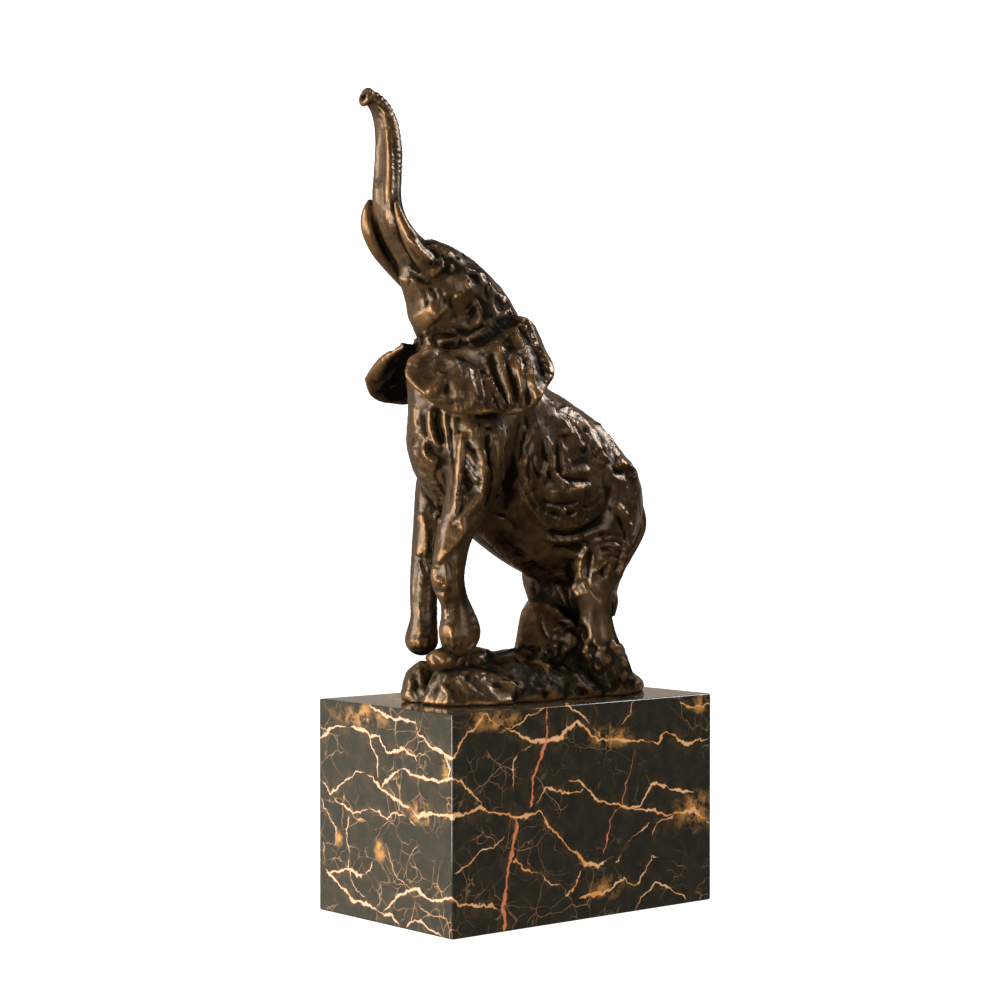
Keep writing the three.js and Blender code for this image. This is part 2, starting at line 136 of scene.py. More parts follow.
RIGHT_EAR = {
    "root": [(-13, -52, 238), (-16, -44, 239), (-17, -34, 243), (-17, -24, 247), (-14, -16, 250)],
    "edge": [(-38, -52, 226), (-42, -45.5, 219.5), (-42, -36, 216.5), (-40, -26, 217),
             (-41, -16, 222), (-38, -7, 231), (-30, -4, 241), (-19, -6, 249)],
    "face": (-0.8, -0.05, 0.5), "bulge": 2,
    "folds": [(0.3, 0.08, 1.2, 0.3), (0.55, 0.08, 1.5, 0.3), (0.72, 0.06, -1.2, 0.3)],
}
EAR_DEPTH = 38
# The outline of the ground, and how high it is at each share of the way to that outline.
MOUND = [(-14, -50), (6, -52), (24, -42), (27, -20), (26, 4), (27, 26), (25, 48),
         (12, 64), (-10, 64), (-24, 48), (-27, 20), (-26, -10), (-24, -36)]
MOUND_LEVELS = [(86, 1), (94.5, 0.97), (99, 0.86), (104, 0.66), (108.5, 0.4)]
MOUND_TOP = 111
MOUND_MIDDLE = 4
# Rocks: corner points of each block, in the order front left, front right and so on.
LEFT_ROCK = [(-14, -47, 105), (-7, -47, 106.5), (-3, -40, 104), (-12, -36, 107), (-20, -38, 101),
             (-17, -50, 97), (-8, -55, 95), (-1, -50, 94), (-12, -54, 90), (-3, -55, 89), (4, -46, 90),
             (-22, -36, 89), (4, -30, 92)]
RIGHT_ROCK = [(8, -52, 104), (15, -49, 105.5), (20, -40, 103), (10, -36, 105), (2, -44, 104),
              (18, -53, 96), (26, -42, 95), (28, -28, 94), (22, -26, 101), (20, -55, 89), (30, -38, 89),
              (31, -24, 88), (2, -57, 89), (0, -30, 96)]
BOULDER = [(-14, 18, 130.5), (2, 6, 130), (6, 12, 130.5), (-2, 3.5, 126), (8, 5, 124), (14, 10, 119.5),
           (14, 24, 120), (6, -7, 109), (12, 6, 112), (16, 26, 112), (16, 2, 98), (8, -9, 98),
           (20, 30, 98), (-14, 8, 100), (-20, 14, 98), (-20, 36, 98), (0, 36, 124), (4, 46, 98)]
# Each rock with how far its edges are worn.
ROCKS = ((LEFT_ROCK, 1.6), (RIGHT_ROCK, 2.2), (BOULDER, 0.5))


# Folds, ridges and tool marks. Each row: width, height (below 0 for a cut), where the mark
# starts, bends and ends as (across, up), and for a set of marks also where the last one runs
# and how many there are. They are placed as seen from the left front quarter, and those of the
# back from the left rear quarter.
TRUNK_AND_TUSKS = [
    (1.0, 1.0, ((-53.4, 328), (-52.4, 311), (-52.2, 296))),
    (0.7, 0.4, ((-57.8, 326), (-58.8, 311), (-59, 297))),
    (0.8, -0.6, ((-58, 338), (-54.5, 336), (-51, 334)), ((-57, 330.5), (-54.5, 329), (-51.5, 329.5)), 4),
    (1.1, -1.0, ((-59.5, 291), (-56, 281), (-50.5, 272))),
    (1.0, -1.0, ((-44.5, 287), (-41, 279), (-34, 273))),
    (0.9, 0.6, ((-54, 294), (-51, 283), (-44, 272))),
]
HEAD = [
    (1.0, 1.4, ((-43.5, 283), (-40, 277), (-34.5, 273.2))),
    (0.9, -1.1, ((-44.5, 281), (-41, 275), (-35, 271.5))),
    (1.3, -1.4, ((-34.5, 272.3), (-33.3, 271.6), (-32.6, 272.5))),
    (1.1, 1.2, ((-32.6, 275), (-31.8, 270.5), (-35, 266))),
    (0.9, 1.0, ((-45.5, 270.8), (-40.5, 268), (-36, 264.3))),
    (0.8, -0.7, ((-46, 269), (-41, 266.3), (-37, 263.2))),
    (1.1, 0.8, ((-49.5, 267.5), (-47.5, 266.3), (-45, 265.8))),
    (1.8, -1.3, ((-19.5, 269), (-18, 266.5), (-17, 264))),
    (1.0, 1.0, ((-22, 270.3), (-19.5, 271), (-16.5, 269))),
    (1.0, 0.8, ((-21, 268), (-21, 264.5), (-20.3, 261))),
    (1.5, 0.6, ((-31, 272.8), (-28.5, 270.8), (-25.8, 269.5))),
    (1.1, 1.0, ((-16.5, 270.5), (-12.8, 266.5), (-10.8, 262.5))),
    (1.0, -0.9, ((-14.8, 268), (-13, 264.5), (-12.2, 260))),
    (1.2, 0.8, ((-11, 264), (-7.5, 261), (-4.5, 257.5))),
    (1.9, -1.0, ((-8.5, 260), (-7.5, 257), (-6, 255))),
    (1.4, 0.8, ((-17.5, 258), (-16, 253), (-15.8, 246))),
    (0.7, -0.6, ((-23, 252), (-21, 254.5), (-18.5, 256.5)), ((-21, 247.5), (-19, 249.5), (-16.8, 252)), 4),
    (4.5, 1.0, ((-37, 256), (-34.5, 253), (-32, 250))),
    (2.4, -1.1, ((-28.8, 259), (-26.8, 254), (-25, 249.5))),
    (0.9, 0.8, ((-26.5, 258), (-25, 260), (-23, 261))),
    (0.9, 0.4, ((-38, 277.5), (-36, 279), (-33.5, 281)), ((-32.5, 273.5), (-30, 276), (-27.5, 279)), 4),
    (0.8, -0.7, ((-26, 275.5), (-25, 275), (-23.8, 274.8))),
    (0.8, -0.5, ((-40, 262), (-38, 259), (-37, 254)), ((-33, 263), (-31, 259), (-30.5, 254)), 3),
]
NECK = [
    (5.5, -2.6, ((-46, 239), (-48.5, 231), (-51, 223.5))),
    (1.2, 1.0, ((-50, 237.5), (-56, 231.5), (-60.5, 225))),
    (1.0, -1.5, ((-31, 242.3), (-24.5, 242.8), (-18, 244))),
    (1.0, -1.3, ((-27, 245), (-20, 245.5), (-14, 248.3))),
    (1.0, 1.1, ((-34, 240.5), (-29, 241), (-24, 241))),
    (0.8, 0.9, ((-22, 242), (-19, 243), (-16, 244.5))),
    (1.6, -1.8, ((-30.5, 236.8), (-26.5, 239.8), (-23, 240.8))),
    (2.2, -2.2, ((-19, 239), (-12.5, 242.3), (-8, 247))),
    (2.4, -1.6, ((-8, 247), (-4, 248.5), (0, 248.3))),
    (1.2, 1.2, ((-38, 245.5), (-36.3, 242), (-34.8, 238.5))),
    (0.9, 1.2, ((-7, 251.5), (-4.3, 254), (-1.8, 252))),
]
EAR = [
    (3.0, 0.6, ((-35, 232), (-38.5, 233.5), (-41.5, 229))),
    (3.0, -0.9, ((-40, 226.5), (-36, 224), (-33, 225.5))),
    (1.5, 1.1, ((-37.5, 219), (-34, 223), (-31.3, 227))),
    (2.4, -1.0, ((-30.6, 231), (-30, 225), (-29.3, 217))),
    (3.6, 1.1, ((-26.5, 233), (-25.3, 224), (-24, 215))),
    (2.4, -0.6, ((-22.5, 226), (-22.3, 220), (-20.5, 214.5))),
    (3.2, 1.6, ((-20.5, 232), (-19, 222), (-15.2, 213.5))),
    (1.5, -1.9, ((-14.8, 230), (-13, 221), (-11.8, 213))),
    (0.9, 1.0, ((-13.2, 227), (-12, 219.5), (-10.6, 213))),
    (0.8, -0.8, ((-11.3, 222), (-9.9, 217), (-8.6, 213))),
    (0.9, 1.4, ((-12.6, 228), (-9, 219.5), (-4.8, 213))),
    (1.5, -1.8, ((-11.8, 235), (-8.4, 224), (-3.4, 212.5))),
    (2.2, 1.5, ((-8, 240), (-6.3, 228), (-2.2, 212.5))),
    (1.9, -1.1, ((-4.2, 239), (-2.6, 228), (-0.4, 213))),
    (3.0, 1.1, ((-0.8, 238), (1, 226), (2.2, 213))),
    (1.6, -1.0, ((2.2, 233), (3.6, 224), (4.4, 213.5))),
    (1.2, 2.1, ((-1.6, 246.5), (2.6, 237), (7.6, 221))),
    (2.4, -2.3, ((1.5, 247.5), (6.8, 238), (10.3, 226))),
    (0.9, 1.1, ((0, 249.7), (5.5, 244.5), (9.3, 236.5))),
    (1.1, 0.9, ((11, 231.5), (13.2, 228), (12, 222.5))),
]
CHEST = [
    (1.6, 1.1, ((-41.5, 214), (-42.5, 209), (-40.5, 203))),
    (1.2, 1.4, ((-35.3, 213), (-34.8, 204), (-31.8, 196))),
    (1.9, -2.2, ((-32.3, 213), (-32.7, 206), (-31.3, 198))),
    (1.0, 1.0, ((-30, 212), (-29.6, 203), (-28.5, 193))),
    (1.0, -0.9, ((-27.7, 205), (-27.3, 197), (-27.6, 190))),
    (1.1, 0.8, ((-26, 210), (-25.6, 200), (-25.8, 190))),
    (2.2, 1.6, ((-36.4, 201), (-38, 195.5), (-33, 189.7))),
    (1.2, -1.1, ((-39.8, 199), (-40.3, 194), (-37, 188.5))),
    (1.0, 0.7, ((-42.5, 198), (-42, 192), (-39, 187))),
    (0.9, -0.9, ((-39.8, 183), (-36.5, 178), (-33, 170)),
     ((-35, 185.5), (-32.3, 180.5), (-29.8, 173.5)), 5),
    (1.1, 1.1, ((-35, 174.5), (-33, 170.5), (-31.9, 165.8))),
    (1.1, 0.6, ((-42, 187), (-38, 184.5), (-33, 180))),
]
FORELEGS = [
    (1.2, 1.7, ((-23, 203), (-23.4, 190), (-25.2, 168))),
    (2.6, -1.7, ((-20.5, 199), (-20.2, 188), (-21.5, 177))),
    (1.3, -1.0, ((-22.3, 184), (-20.5, 181.8), (-19.3, 180))),
    (0.8, 0.8, ((-21, 197), (-18, 193), (-15.3, 189)), ((-21.5, 190), (-18.6, 186), (-15, 182)), 4),
    (1.5, 1.3, ((-15.5, 178.5), (-14.6, 186), (-16, 196))),
    (1.2, 1.3, ((-26, 164.5), (-20, 172), (-15.5, 178.5))),
    (3.0, 0.9, ((-22, 203), (-20, 206.5), (-16.5, 206.5))),
    (1.3, -0.8, ((-22.5, 209.3), (-16, 209.8), (-8, 209))),
    (1.6, 1.4, ((-20, 165.5), (-25.8, 158), (-32, 148.5))),
    (1.8, -0.9, ((-25.5, 166), (-27.2, 160), (-29.5, 154))),
    (1.8, 0.8, ((-12.8, 190), (-12.5, 177), (-19.5, 163))),
    (2.0, 0.9, ((-34.5, 148), (-34.3, 144), (-31, 140))),
    (1.3, -1.0, ((-28.3, 150), (-27.6, 143), (-28.5, 135))),
    (1.0, -0.5, ((-35, 139), (-31, 137.5), (-26, 138.5)), ((-34, 134.5), (-30, 133), (-25, 134)), 2),
    (1.5, 0.7, ((-30.5, 137), (-29.5, 131), (-29.5, 125))),
    (2.6, 0.8, ((-28.5, 125), (-27, 119.5), (-26, 114.5))),
    (0.9, -0.8, ((-31, 118.5), (-30.6, 116), (-31, 113.5)), ((-22.5, 119), (-22.5, 116.5), (-23, 114)), 4),
    (2.0, 0.8, ((-41.6, 131), (-41.2, 123), (-41, 116.5))),
    (0.9, 0.8, ((-44.3, 117), (-43.7, 114), (-43, 111.8)), ((-38.5, 117), (-38.3, 114.3), (-38.5, 112)), 4),
    (0.8, -0.7, ((-42.3, 151), (-40.7, 147), (-38.7, 143.5)),
     ((-39.8, 154), (-38.6, 150), (-37.3, 146)), 4),
    (1.6, 1.1, ((-40.3, 170), (-38.6, 160), (-39.5, 150))),
    (1.0, -0.8, ((-36.5, 163), (-36.2, 156), (-37.5, 149))),
    (0.9, 0.6, ((-41.5, 111.5), (-37, 112), (-33.5, 113.7))),
]
FLANK = [
    (1.8, -2.0, ((-12.3, 206), (-11, 190), (-12.7, 171))),
    (1.0, 0.9, ((-12, 205), (-10.6, 201), (-9.7, 196.5))),
    (2.4, 1.3, ((-5.5, 205), (-6.5, 191), (-8, 177))),
    (4.0, -2.0, ((4.5, 213), (-0.5, 190), (-5.5, 166))),
    (1.0, 0.7, ((4, 206), (1.5, 197), (0.5, 186)), ((8, 206), (4.5, 197), (3, 188)), 2),
    (0.8, -1.0, ((6.5, 195), (4.8, 188), (6.3, 182))),
    (0.8, -1.0, ((8, 194), (7.2, 188.5), (11.6, 182))),
    (0.9, -1.1, ((2, 184), (4, 176.5), (9.5, 170.5))),
    (0.8, 0.8, ((4, 193), (3.3, 184), (8, 175))),
    (1.6, 1.0, ((14, 162.5), (6.5, 167.5), (2, 176))),
    (1.0, 1.4, ((12.6, 202), (14.8, 193), (15.2, 186.5))),
    (0.8, 1.1, ((15.2, 187), (17.5, 183.6), (21.5, 180.8))),
    (0.8, 0.8, ((13.2, 191), (12.4, 186.5), (11.8, 181.5))),
    (1.4, -1.3, ((17, 200), (17, 192), (17.8, 186))),
    (1.8, 0.6, ((21, 197), (21.5, 192), (22.5, 188))),
    (1.2, 0.9, ((31, 186.3), (25, 184.6), (18.3, 185.3))),
    (1.0, -0.9, ((30, 182.8), (25.5, 182), (20.5, 182.8))),
    (1.2, 0.8, ((31.5, 180.5), (27, 178.3), (21, 181))),
    (4.5, 1.3, ((12, 178.5), (20, 178.5), (29, 177))),
    (0.9, -1.0, ((11.5, 174.8), (17, 172.6), (27.5, 174.6)), ((27.5, 171.5), (32, 172.2), (36, 176)), 2),
    (1.3, 1.1, ((17, 171.5), (18.8, 170.5), (19.3, 168))),
    (0.9, -1.3, ((12.5, 169.6), (16, 168.3), (18, 166.8))),
    (1.0, -1.2, ((20.5, 170), (22.5, 169.3), (25, 169.8))),
    (2.6, 1.1, ((30, 166), (22, 163.8), (14.5, 164.8))),
    (1.8, -1.8, ((13, 161), (23, 159.9), (36, 166.5))),
    (1.2, 0.9, ((28, 158.6), (20, 157.2), (11, 157.8))),
    (2.2, -1.7, ((16, 155), (22, 153.5), (29, 155.5))),
    (3.2, -1.3, ((35.5, 186), (38, 175), (33, 162))),
    (2.6, 1.2, ((10.5, 219.5), (17.5, 211.5), (22, 201.5))),
    (3.0, 1.5, ((20, 216), (30, 206.5), (37, 196))),
    (1.8, 1.3, ((34, 208), (43, 195), (46.5, 186))),
    (2.4, 1.4, ((23.5, 209), (25, 201.5), (27.5, 195.5))),
    (0.9, -0.9, ((25.5, 197), (27, 195.3), (29.5, 195.2))),
    (1.4, -1.3, ((27.5, 205), (30.5, 199.5), (33, 193))),
    (3.0, 1.6, ((30, 204), (34, 196.5), (38.5, 190.5))),
    (0.9, -1.1, ((32.5, 193), (35, 191), (39, 190.5))),
    (0.8, -0.8, ((38, 203), (41, 196), (42.5, 190.5)), ((41, 202), (43.5, 196), (44.5, 191)), 2),
    (1.3, 1.6, ((50.5, 182.5), (49.5, 188.3), (42.5, 188.3))),
    (1.6, -1.1, ((41, 186), (45, 186.3), (47.5, 183))),
    (2.2, 0.9, ((46.5, 186), (47.5, 177), (46.5, 166))),
    (1.0, -0.8, ((50.5, 182), (51, 174), (50, 166))),
    (1.0, -1.1, ((34.5, 158.7), (41, 159.4), (47, 156.4)), ((36, 149), (41.5, 150.5), (47, 147.5)), 4),
    (1.4, 1.2, ((41.9, 173), (48, 165), (50.5, 156))),
    (1.0, -1.0, ((39.5, 171), (45, 164), (47, 156))),
    (0.9, 0.7, ((36, 158), (38.5, 158.3), (41, 157))),
]
BACK = [
    (4.2, 0.55, ((-22, 224), (-10, 229), (2, 226)), ((14, 176), (28, 180), (42, 176)), 6),
    (3.0, 0.5, ((-24, 262), (-17, 264), (-9, 262)), ((-22, 240), (-13, 243), (-4, 240)), 3),
]
BELLY_AND_HIND_LEG = [
    (1.0, 1.5, ((-14.5, 161), (-4, 150.5), (9, 139.6))),
    (2.4, -1.3, ((-9.5, 162.5), (-2, 154), (3.5, 148.5))),
    (0.7, 0.9, ((0, 156.5), (5, 153), (10, 148.5))),
    (3.4, -2.0, ((3, 148), (9, 144.5), (16, 140.5))),
    (1.1, -0.9, ((-10, 167.7), (-4, 165.3), (1, 161))),
    (1.5, 1.4, ((19, 144.5), (24, 138), (27.3, 132.5))),
    (0.9, 1.3, ((16, 138), (19.8, 132.5), (23, 125.5))),
    (0.7, 0.8, ((21, 134), (22.3, 129.5), (24.3, 126.5))),
    (1.4, -1.7, ((20, 137.5), (20.6, 134), (21.3, 130.5))),
    (1.5, -1.6, ((14.5, 139.5), (14, 136.5), (14.7, 133.5))),
    (1.0, -0.9, ((7.3, 138), (7.8, 134), (7.6, 130.5))),
    (0.8, 1.4, ((12.5, 129.7), (19.5, 124.6), (26.5, 118.8))),
    (0.7, -1.0, ((13.5, 128), (19, 123.6), (25, 119))),
    (0.8, -1.1, ((15.5, 120.4), (19.5, 121.3), (23.5, 120.3))),
    (0.9, -1.1, ((15.8, 118.3), (17.5, 117.8), (19, 116.6))),
    (1.0, -1.0, ((9.8, 125), (10, 120.5), (13, 114.3))),
    (1.7, 1.3, ((21.8, 118), (24, 115.6), (26.3, 114.5))),
    (1.8, -1.9, ((26, 120.3), (28.2, 118), (27.3, 115.5))),
    (3.6, -2.0, ((16, 112), (19, 106.5), (24, 102.5))),
    (1.8, 1.7, ((31, 155), (28.7, 148.5), (27.9, 139.5))),
    (1.0, -0.8, ((31.4, 151.5), (31, 145.5), (30, 139.5))),
    (1.0, -1.0, ((30, 139.5), (31.4, 136), (35.5, 131.5))),
    (0.8, 1.3, ((38.3, 147), (35.6, 144.9), (32.8, 142.6))),
    (0.8, -0.8, ((35.8, 153.3), (38, 154.2), (40.2, 153.6))),
    (0.7, 0.9, ((40.8, 155.2), (42.2, 154.4), (43.2, 153.2))),
    (1.6, -1.2, ((38.6, 147.3), (37.4, 144.3), (37.6, 140.8))),
    (1.0, 1.5, ((48.6, 158), (46, 148.5), (42.3, 140.5))),
    (1.0, -1.3, ((49.9, 156.5), (47.4, 148), (43.9, 139.8))),
    (1.0, 0.9, ((41.2, 114), (43.5, 110.6), (45.3, 106.5))),
    (1.1, 1.1, ((27, 110.2), (29.4, 108.9), (31, 105.3))),
    (1.1, -1.5, ((29.6, 109.4), (31.7, 106.4), (31.6, 102.2))),
    (1.0, 1.2, ((33.2, 105.3), (34.8, 103.3), (35.2, 100.8))),
    (1.2, -1.2, ((43.2, 105.6), (43.9, 103), (43.5, 100.6))),
    (1.4, 1.2, ((46.5, 106), (46.6, 102), (47.6, 98.6))),
]
GROUND_FOLDS = [
    (1.6, -1.6, ((-37.3, 104), (-34.7, 98), (-36, 91.5))),
    (1.0, 0.8, ((-45, 101), (-43.7, 96), (-42, 91.5)), ((-41, 104.5), (-40, 101), (-38, 99)), 2),
    (1.0, 1.0, ((-26.5, 104), (-20, 99), (-14, 94.5))),
    (1.0, 0.8, ((-33, 100), (-28.5, 96), (-26.5, 91.5))),
    (1.5, 1.5, ((9.3, 107.3), (11.5, 104.6), (14, 102))),
    (1.1, -1.2, ((7, 106), (9, 103.8), (11.5, 101.3))),
    (1.5, 1.2, ((-8, 99.8), (-2, 97.6), (3, 95.3))),
    (1.2, -1.0, ((15.3, 97), (17.3, 95.5), (19.3, 93.6))),
    (0.8, 1.0, ((24.8, 97.2), (29, 95), (33.2, 92.3))),
    (1.2, 0.9, ((46, 92.5), (49.5, 94), (54.5, 95.6))),
    (0.8, -1.0, ((47, 94.5), (50.5, 93.4), (53.5, 95))),
    (0.9, 1.0, ((47.5, 98.5), (50.5, 97.2), (54.5, 96.4))),
]
QUARTER_FOLDS = (TRUNK_AND_TUSKS + HEAD + NECK + EAR + CHEST + FORELEGS + FLANK
                 + BELLY_AND_HIND_LEG + GROUND_FOLDS)
FRONT_QUARTER = 50
REAR_QUARTER = 140


# ---------------------------------------------------------------- modelling in clay

EMPTY = 50.0
TINY = 1e-6
FILLET = 0.25


def unit(rows):
    """The rows at length 1."""
    rows = np.asarray(rows, float)
    return rows / np.maximum(np.linalg.norm(rows, axis=-1, keepdims=True), 1e-9)


def flow(rows, count):
    """A smooth line through the rows, read at count even steps."""
    rows = np.asarray(rows, float)
    if len(rows) == 2:
        share = np.linspace(0, 1, count)[:, None]
        return rows[0] * (1 - share) + rows[1] * share
    ends = np.vstack([2 * rows[0] - rows[1], rows, 2 * rows[-1] - rows[-2]])
    place = np.linspace(0, len(rows) - 1, count)
    first = np.minimum(place.astype(int), len(rows) - 2)
    t = (place - first)[:, None]
    a, b, c, d = (ends[first + k] for k in range(4))
    return 0.5 * (2 * b + (c - a) * t + (2 * a - 5 * b + 4 * c - d) * t ** 2
                  + (3 * b - a - 3 * c + d) * t ** 3)


def pitched(degrees):
    """Three axes as rows: across, along and up, with the far end raised by degrees."""
    angle = np.radians(degrees)
    return np.array([[1, 0, 0], [0, np.cos(angle), np.sin(angle)], [0, -np.sin(angle), np.cos(angle)]])


def taper(x, y, z, a, b, flat):
    """The distance from places to the stretch of limb between two stations."""
    span = b[:3] - a[:3]
    length = np.linalg.norm(span)
    along = span / length
    side = np.array([1.0, 0.0, 0.0])
    across = side - (side @ along) * along
    if np.linalg.norm(across) < 1e-3:
        across = np.array([0.0, 1.0, 0.0]) - along[1] * along
    across = across / np.linalg.norm(across)
    fore = np.cross(along, across)
    dx = x - a[0]
    dy = y - a[1]
    dz = z - a[2]
    forward = dx * along[0] + dy * along[1] + dz * along[2]
    share = np.clip(forward / length, 0, 1)
    past = forward - share * length
    sideways = dx * across[0] + dy * across[1] + dz * across[2]
    deep = dx * fore[0] + dy * fore[1] + dz * fore[2]
    wide = a[3] + (b[3] - a[3]) * share
    thick = a[4] + (b[4] - a[4]) * share
    tip = np.minimum(wide, thick)
    outer = np.sqrt((sideways / wide) ** 2 + (deep / thick) ** 2 + (past / tip) ** 2) + TINY
    slope = np.sqrt((sideways / wide ** 2) ** 2 + (deep / thick ** 2) ** 2 + (past / tip ** 2) ** 2)
    distance = (outer * (outer - 1) / (slope + TINY)).astype(np.float32)
    if flat is not None:
        plane = -deep - flat * thick
        near = np.maximum(1.0 - np.abs(distance - plane), 0)
        distance = np.maximum(distance, plane) + near * near * FILLET
    return distance


class Clay:
    """A block of space that holds the distance to the surface, negative inside it."""

    def __init__(self, low, high, cell):
        self.low = np.asarray(low, float)
        self.cell = cell
        self.shape = np.ceil((np.asarray(high) - self.low) / cell).astype(int) + 1
        self.field = np.full(self.shape, EMPTY, np.float32)

    def window(self, low, high):
        """The part of the grid between two corners, and where its points lie."""
        first = np.clip(np.floor((np.asarray(low) - self.low) / self.cell).astype(int), 0, self.shape - 1)
        last = np.clip(np.ceil((np.asarray(high) - self.low) / self.cell).astype(int) + 1, 1, self.shape)
        box = tuple(slice(a, b) for a, b in zip(first, last))
        axes = [self.low[k] + self.cell * np.arange(first[k], last[k]) for k in range(3)]
        axes = [axis.astype(np.float32) for axis in axes]
        return box, np.meshgrid(*axes, indexing="ij", sparse=True)

    def blend(self, box, distance, soft, cut=False):
        """Joins a form on, or cuts it out, with a fillet of about this softness."""
        old = self.field[box]
        if cut:
            distance = -distance
        near = np.maximum(soft - np.abs(old - distance), 0) / soft
        fillet = near * near * soft * FILLET
        if cut:
            self.field[box] = np.maximum(old, distance) + fillet
        else:
            self.field[box] = np.minimum(old, distance) - fillet

    def mass(self, at, size, soft=3.0, turn=None, cut=False):
        """An egg-shaped mass. turn holds its three axes as rows."""
        at = np.asarray(at, float)
        size = np.broadcast_to(np.asarray(size, float), 3)
        turn = np.eye(3) if turn is None else np.asarray(turn, float)
        reach = np.abs(turn.T) @ size + soft
        box, (x, y, z) = self.window(at - reach, at + reach)
        outer = 0
        slope = 0
        for axis, half in zip(turn, size):
            share = (axis[0] * (x - at[0]) + axis[1] * (y - at[1]) + axis[2] * (z - at[2])) / half
            outer = outer + share * share
            slope = slope + (share / half) ** 2
        outer = np.sqrt(outer) + TINY
        slope = np.sqrt(slope) + TINY
        self.blend(box, (outer * (outer - 1) / slope).astype(np.float32), soft, cut)

    def limb(self, stations, soft=3.0, steps=5, flat=None):
        """A limb through stations of x, y, z, half width and half depth. flat cuts its
        front to a plane at that share of the half depth."""
        rows = np.asarray(stations, float)
        if rows.shape[1] == 4:
            rows = np.hstack([rows, rows[:, 3:4]])
        line = flow(rows, (len(rows) - 1) * steps + 1)
        line[:, 3:] = np.maximum(line[:, 3:], 0.2)
        reach = line[:, 3:].max() + soft
        box, (x, y, z) = self.window(line[:, :3].min(0) - reach, line[:, :3].max(0) + reach)
        start = np.array([x.flat[0], y.flat[0], z.flat[0]], float)
        shape = np.array([x.size, y.size, z.size])
        nearest = np.full(shape, EMPTY, np.float32)
        for a, b in zip(line[:-1], line[1:]):
            reach = max(a[3:].max(), b[3:].max()) + soft + self.cell * 2
            first = np.floor((np.minimum(a[:3], b[:3]) - reach - start) / self.cell).astype(int)
            last = np.ceil((np.maximum(a[:3], b[:3]) + reach - start) / self.cell).astype(int) + 1
            first = np.clip(first, 0, shape)
            last = np.clip(last, 0, shape)
            if (last <= first).any() or np.linalg.norm(b[:3] - a[:3]) < TINY:
                continue
            part = tuple(slice(u, v) for u, v in zip(first, last))
            distance = taper(x[part[0]], y[:, part[1]], z[:, :, part[2]], a, b, flat)
            np.minimum(nearest[part], distance, out=nearest[part])
        self.blend(box, nearest, soft)

    def block(self, at, planes, soft, worn, reach):
        """A block of stone between planes: each a direction and its distance from at."""
        at = np.asarray(at, float)
        box, (x, y, z) = self.window(at - reach, at + reach)
        distance = None
        for direction, offset in planes:
            n = unit(direction)
            plane = n[0] * (x - at[0]) + n[1] * (y - at[1]) + n[2] * (z - at[2]) - offset
            if distance is None:
                distance = plane
            else:
                near = np.maximum(worn - np.abs(distance - plane), 0) / worn
                distance = np.maximum(distance, plane) + near * near * worn * FILLET
        self.blend(box, distance.astype(np.float32), soft)

    def sheet(self, points, thick, soft=2.0):
        """A sheet through a close grid of points, with its half thickness at each."""
        points = np.asarray(points, float).reshape(-1, 3)
        thick = np.broadcast_to(np.asarray(thick, float).reshape(-1), (len(points),))
        reach = thick.max() + soft + self.cell
        box, (x, y, z) = self.window(points.min(0) - reach, points.max(0) + reach)
        shape = (x.size, y.size, z.size)
        start = np.array([x.flat[0], y.flat[0], z.flat[0]])
        nearest = np.full(int(np.prod(shape)), EMPTY, np.float32)
        span = int(np.ceil(reach / self.cell))
        base = np.round((points - start) / self.cell).astype(int)
        for offset in np.ndindex(*(3 * (2 * span + 1,))):
            step = np.array(offset) - span
            if (step @ step) * self.cell ** 2 > (reach + self.cell) ** 2:
                continue
            cells = base + step
            inside = ((cells >= 0) & (cells < shape)).all(1)
            cells = cells[inside]
            gap = np.linalg.norm(start + cells * self.cell - points[inside], axis=1) - thick[inside]
            flat = (cells[:, 0] * shape[1] + cells[:, 1]) * shape[2] + cells[:, 2]
            np.minimum.at(nearest, flat, gap.astype(np.float32))
        self.blend(box, nearest.reshape(shape), soft)

    def flatten_below(self, height):
        """Cuts everything off flat at this height."""
        z = (self.low[2] + self.cell * np.arange(self.shape[2])).astype(np.float32)
        np.maximum(self.field, (height - z)[None, None, :], out=self.field)

    def skin(self):
        """The surface, as one point in each cell that it crosses and a quad round each edge."""
        inside = self.field < 0
        cells, points = self.crossed_cells(inside)
        index = np.full(self.shape - 1, -1, np.int32)
        index[tuple(cells.T)] = np.arange(len(cells))
        return points, np.vstack([self.quads_across(inside, index, axis) for axis in range(3)])

    def crossed_cells(self, inside):
        """The cells that the surface crosses, and in each one the middle of its crossings."""
        n = self.shape
        corners = np.array([(i, j, k) for i in (0, 1) for j in (0, 1) for k in (0, 1)])
        count = np.zeros(n - 1, np.uint8)
        for i, j, k in corners:
            count += inside[i:n[0] - 1 + i, j:n[1] - 1 + j, k:n[2] - 1 + k]
        cells = np.argwhere((count > 0) & (count < len(corners)))
        values = np.stack([self.field[tuple((cells + c).T)] for c in corners], 1)
        total = np.zeros((len(cells), 3))
        crossings = np.zeros(len(cells))
        for a in range(len(corners)):
            for b in range(a + 1, len(corners)):
                if np.abs(corners[a] - corners[b]).sum() != 1:
                    continue
                crossed = (values[:, a] < 0) != (values[:, b] < 0)
                fall = np.where(crossed, values[:, a] - values[:, b], 1)
                share = np.where(crossed, values[:, a] / fall, 0)
                point = corners[a] + (corners[b] - corners[a]) * share[:, None]
                total += point * crossed[:, None]
                crossings += crossed
        return cells, self.low + (cells + total / crossings[:, None]) * self.cell

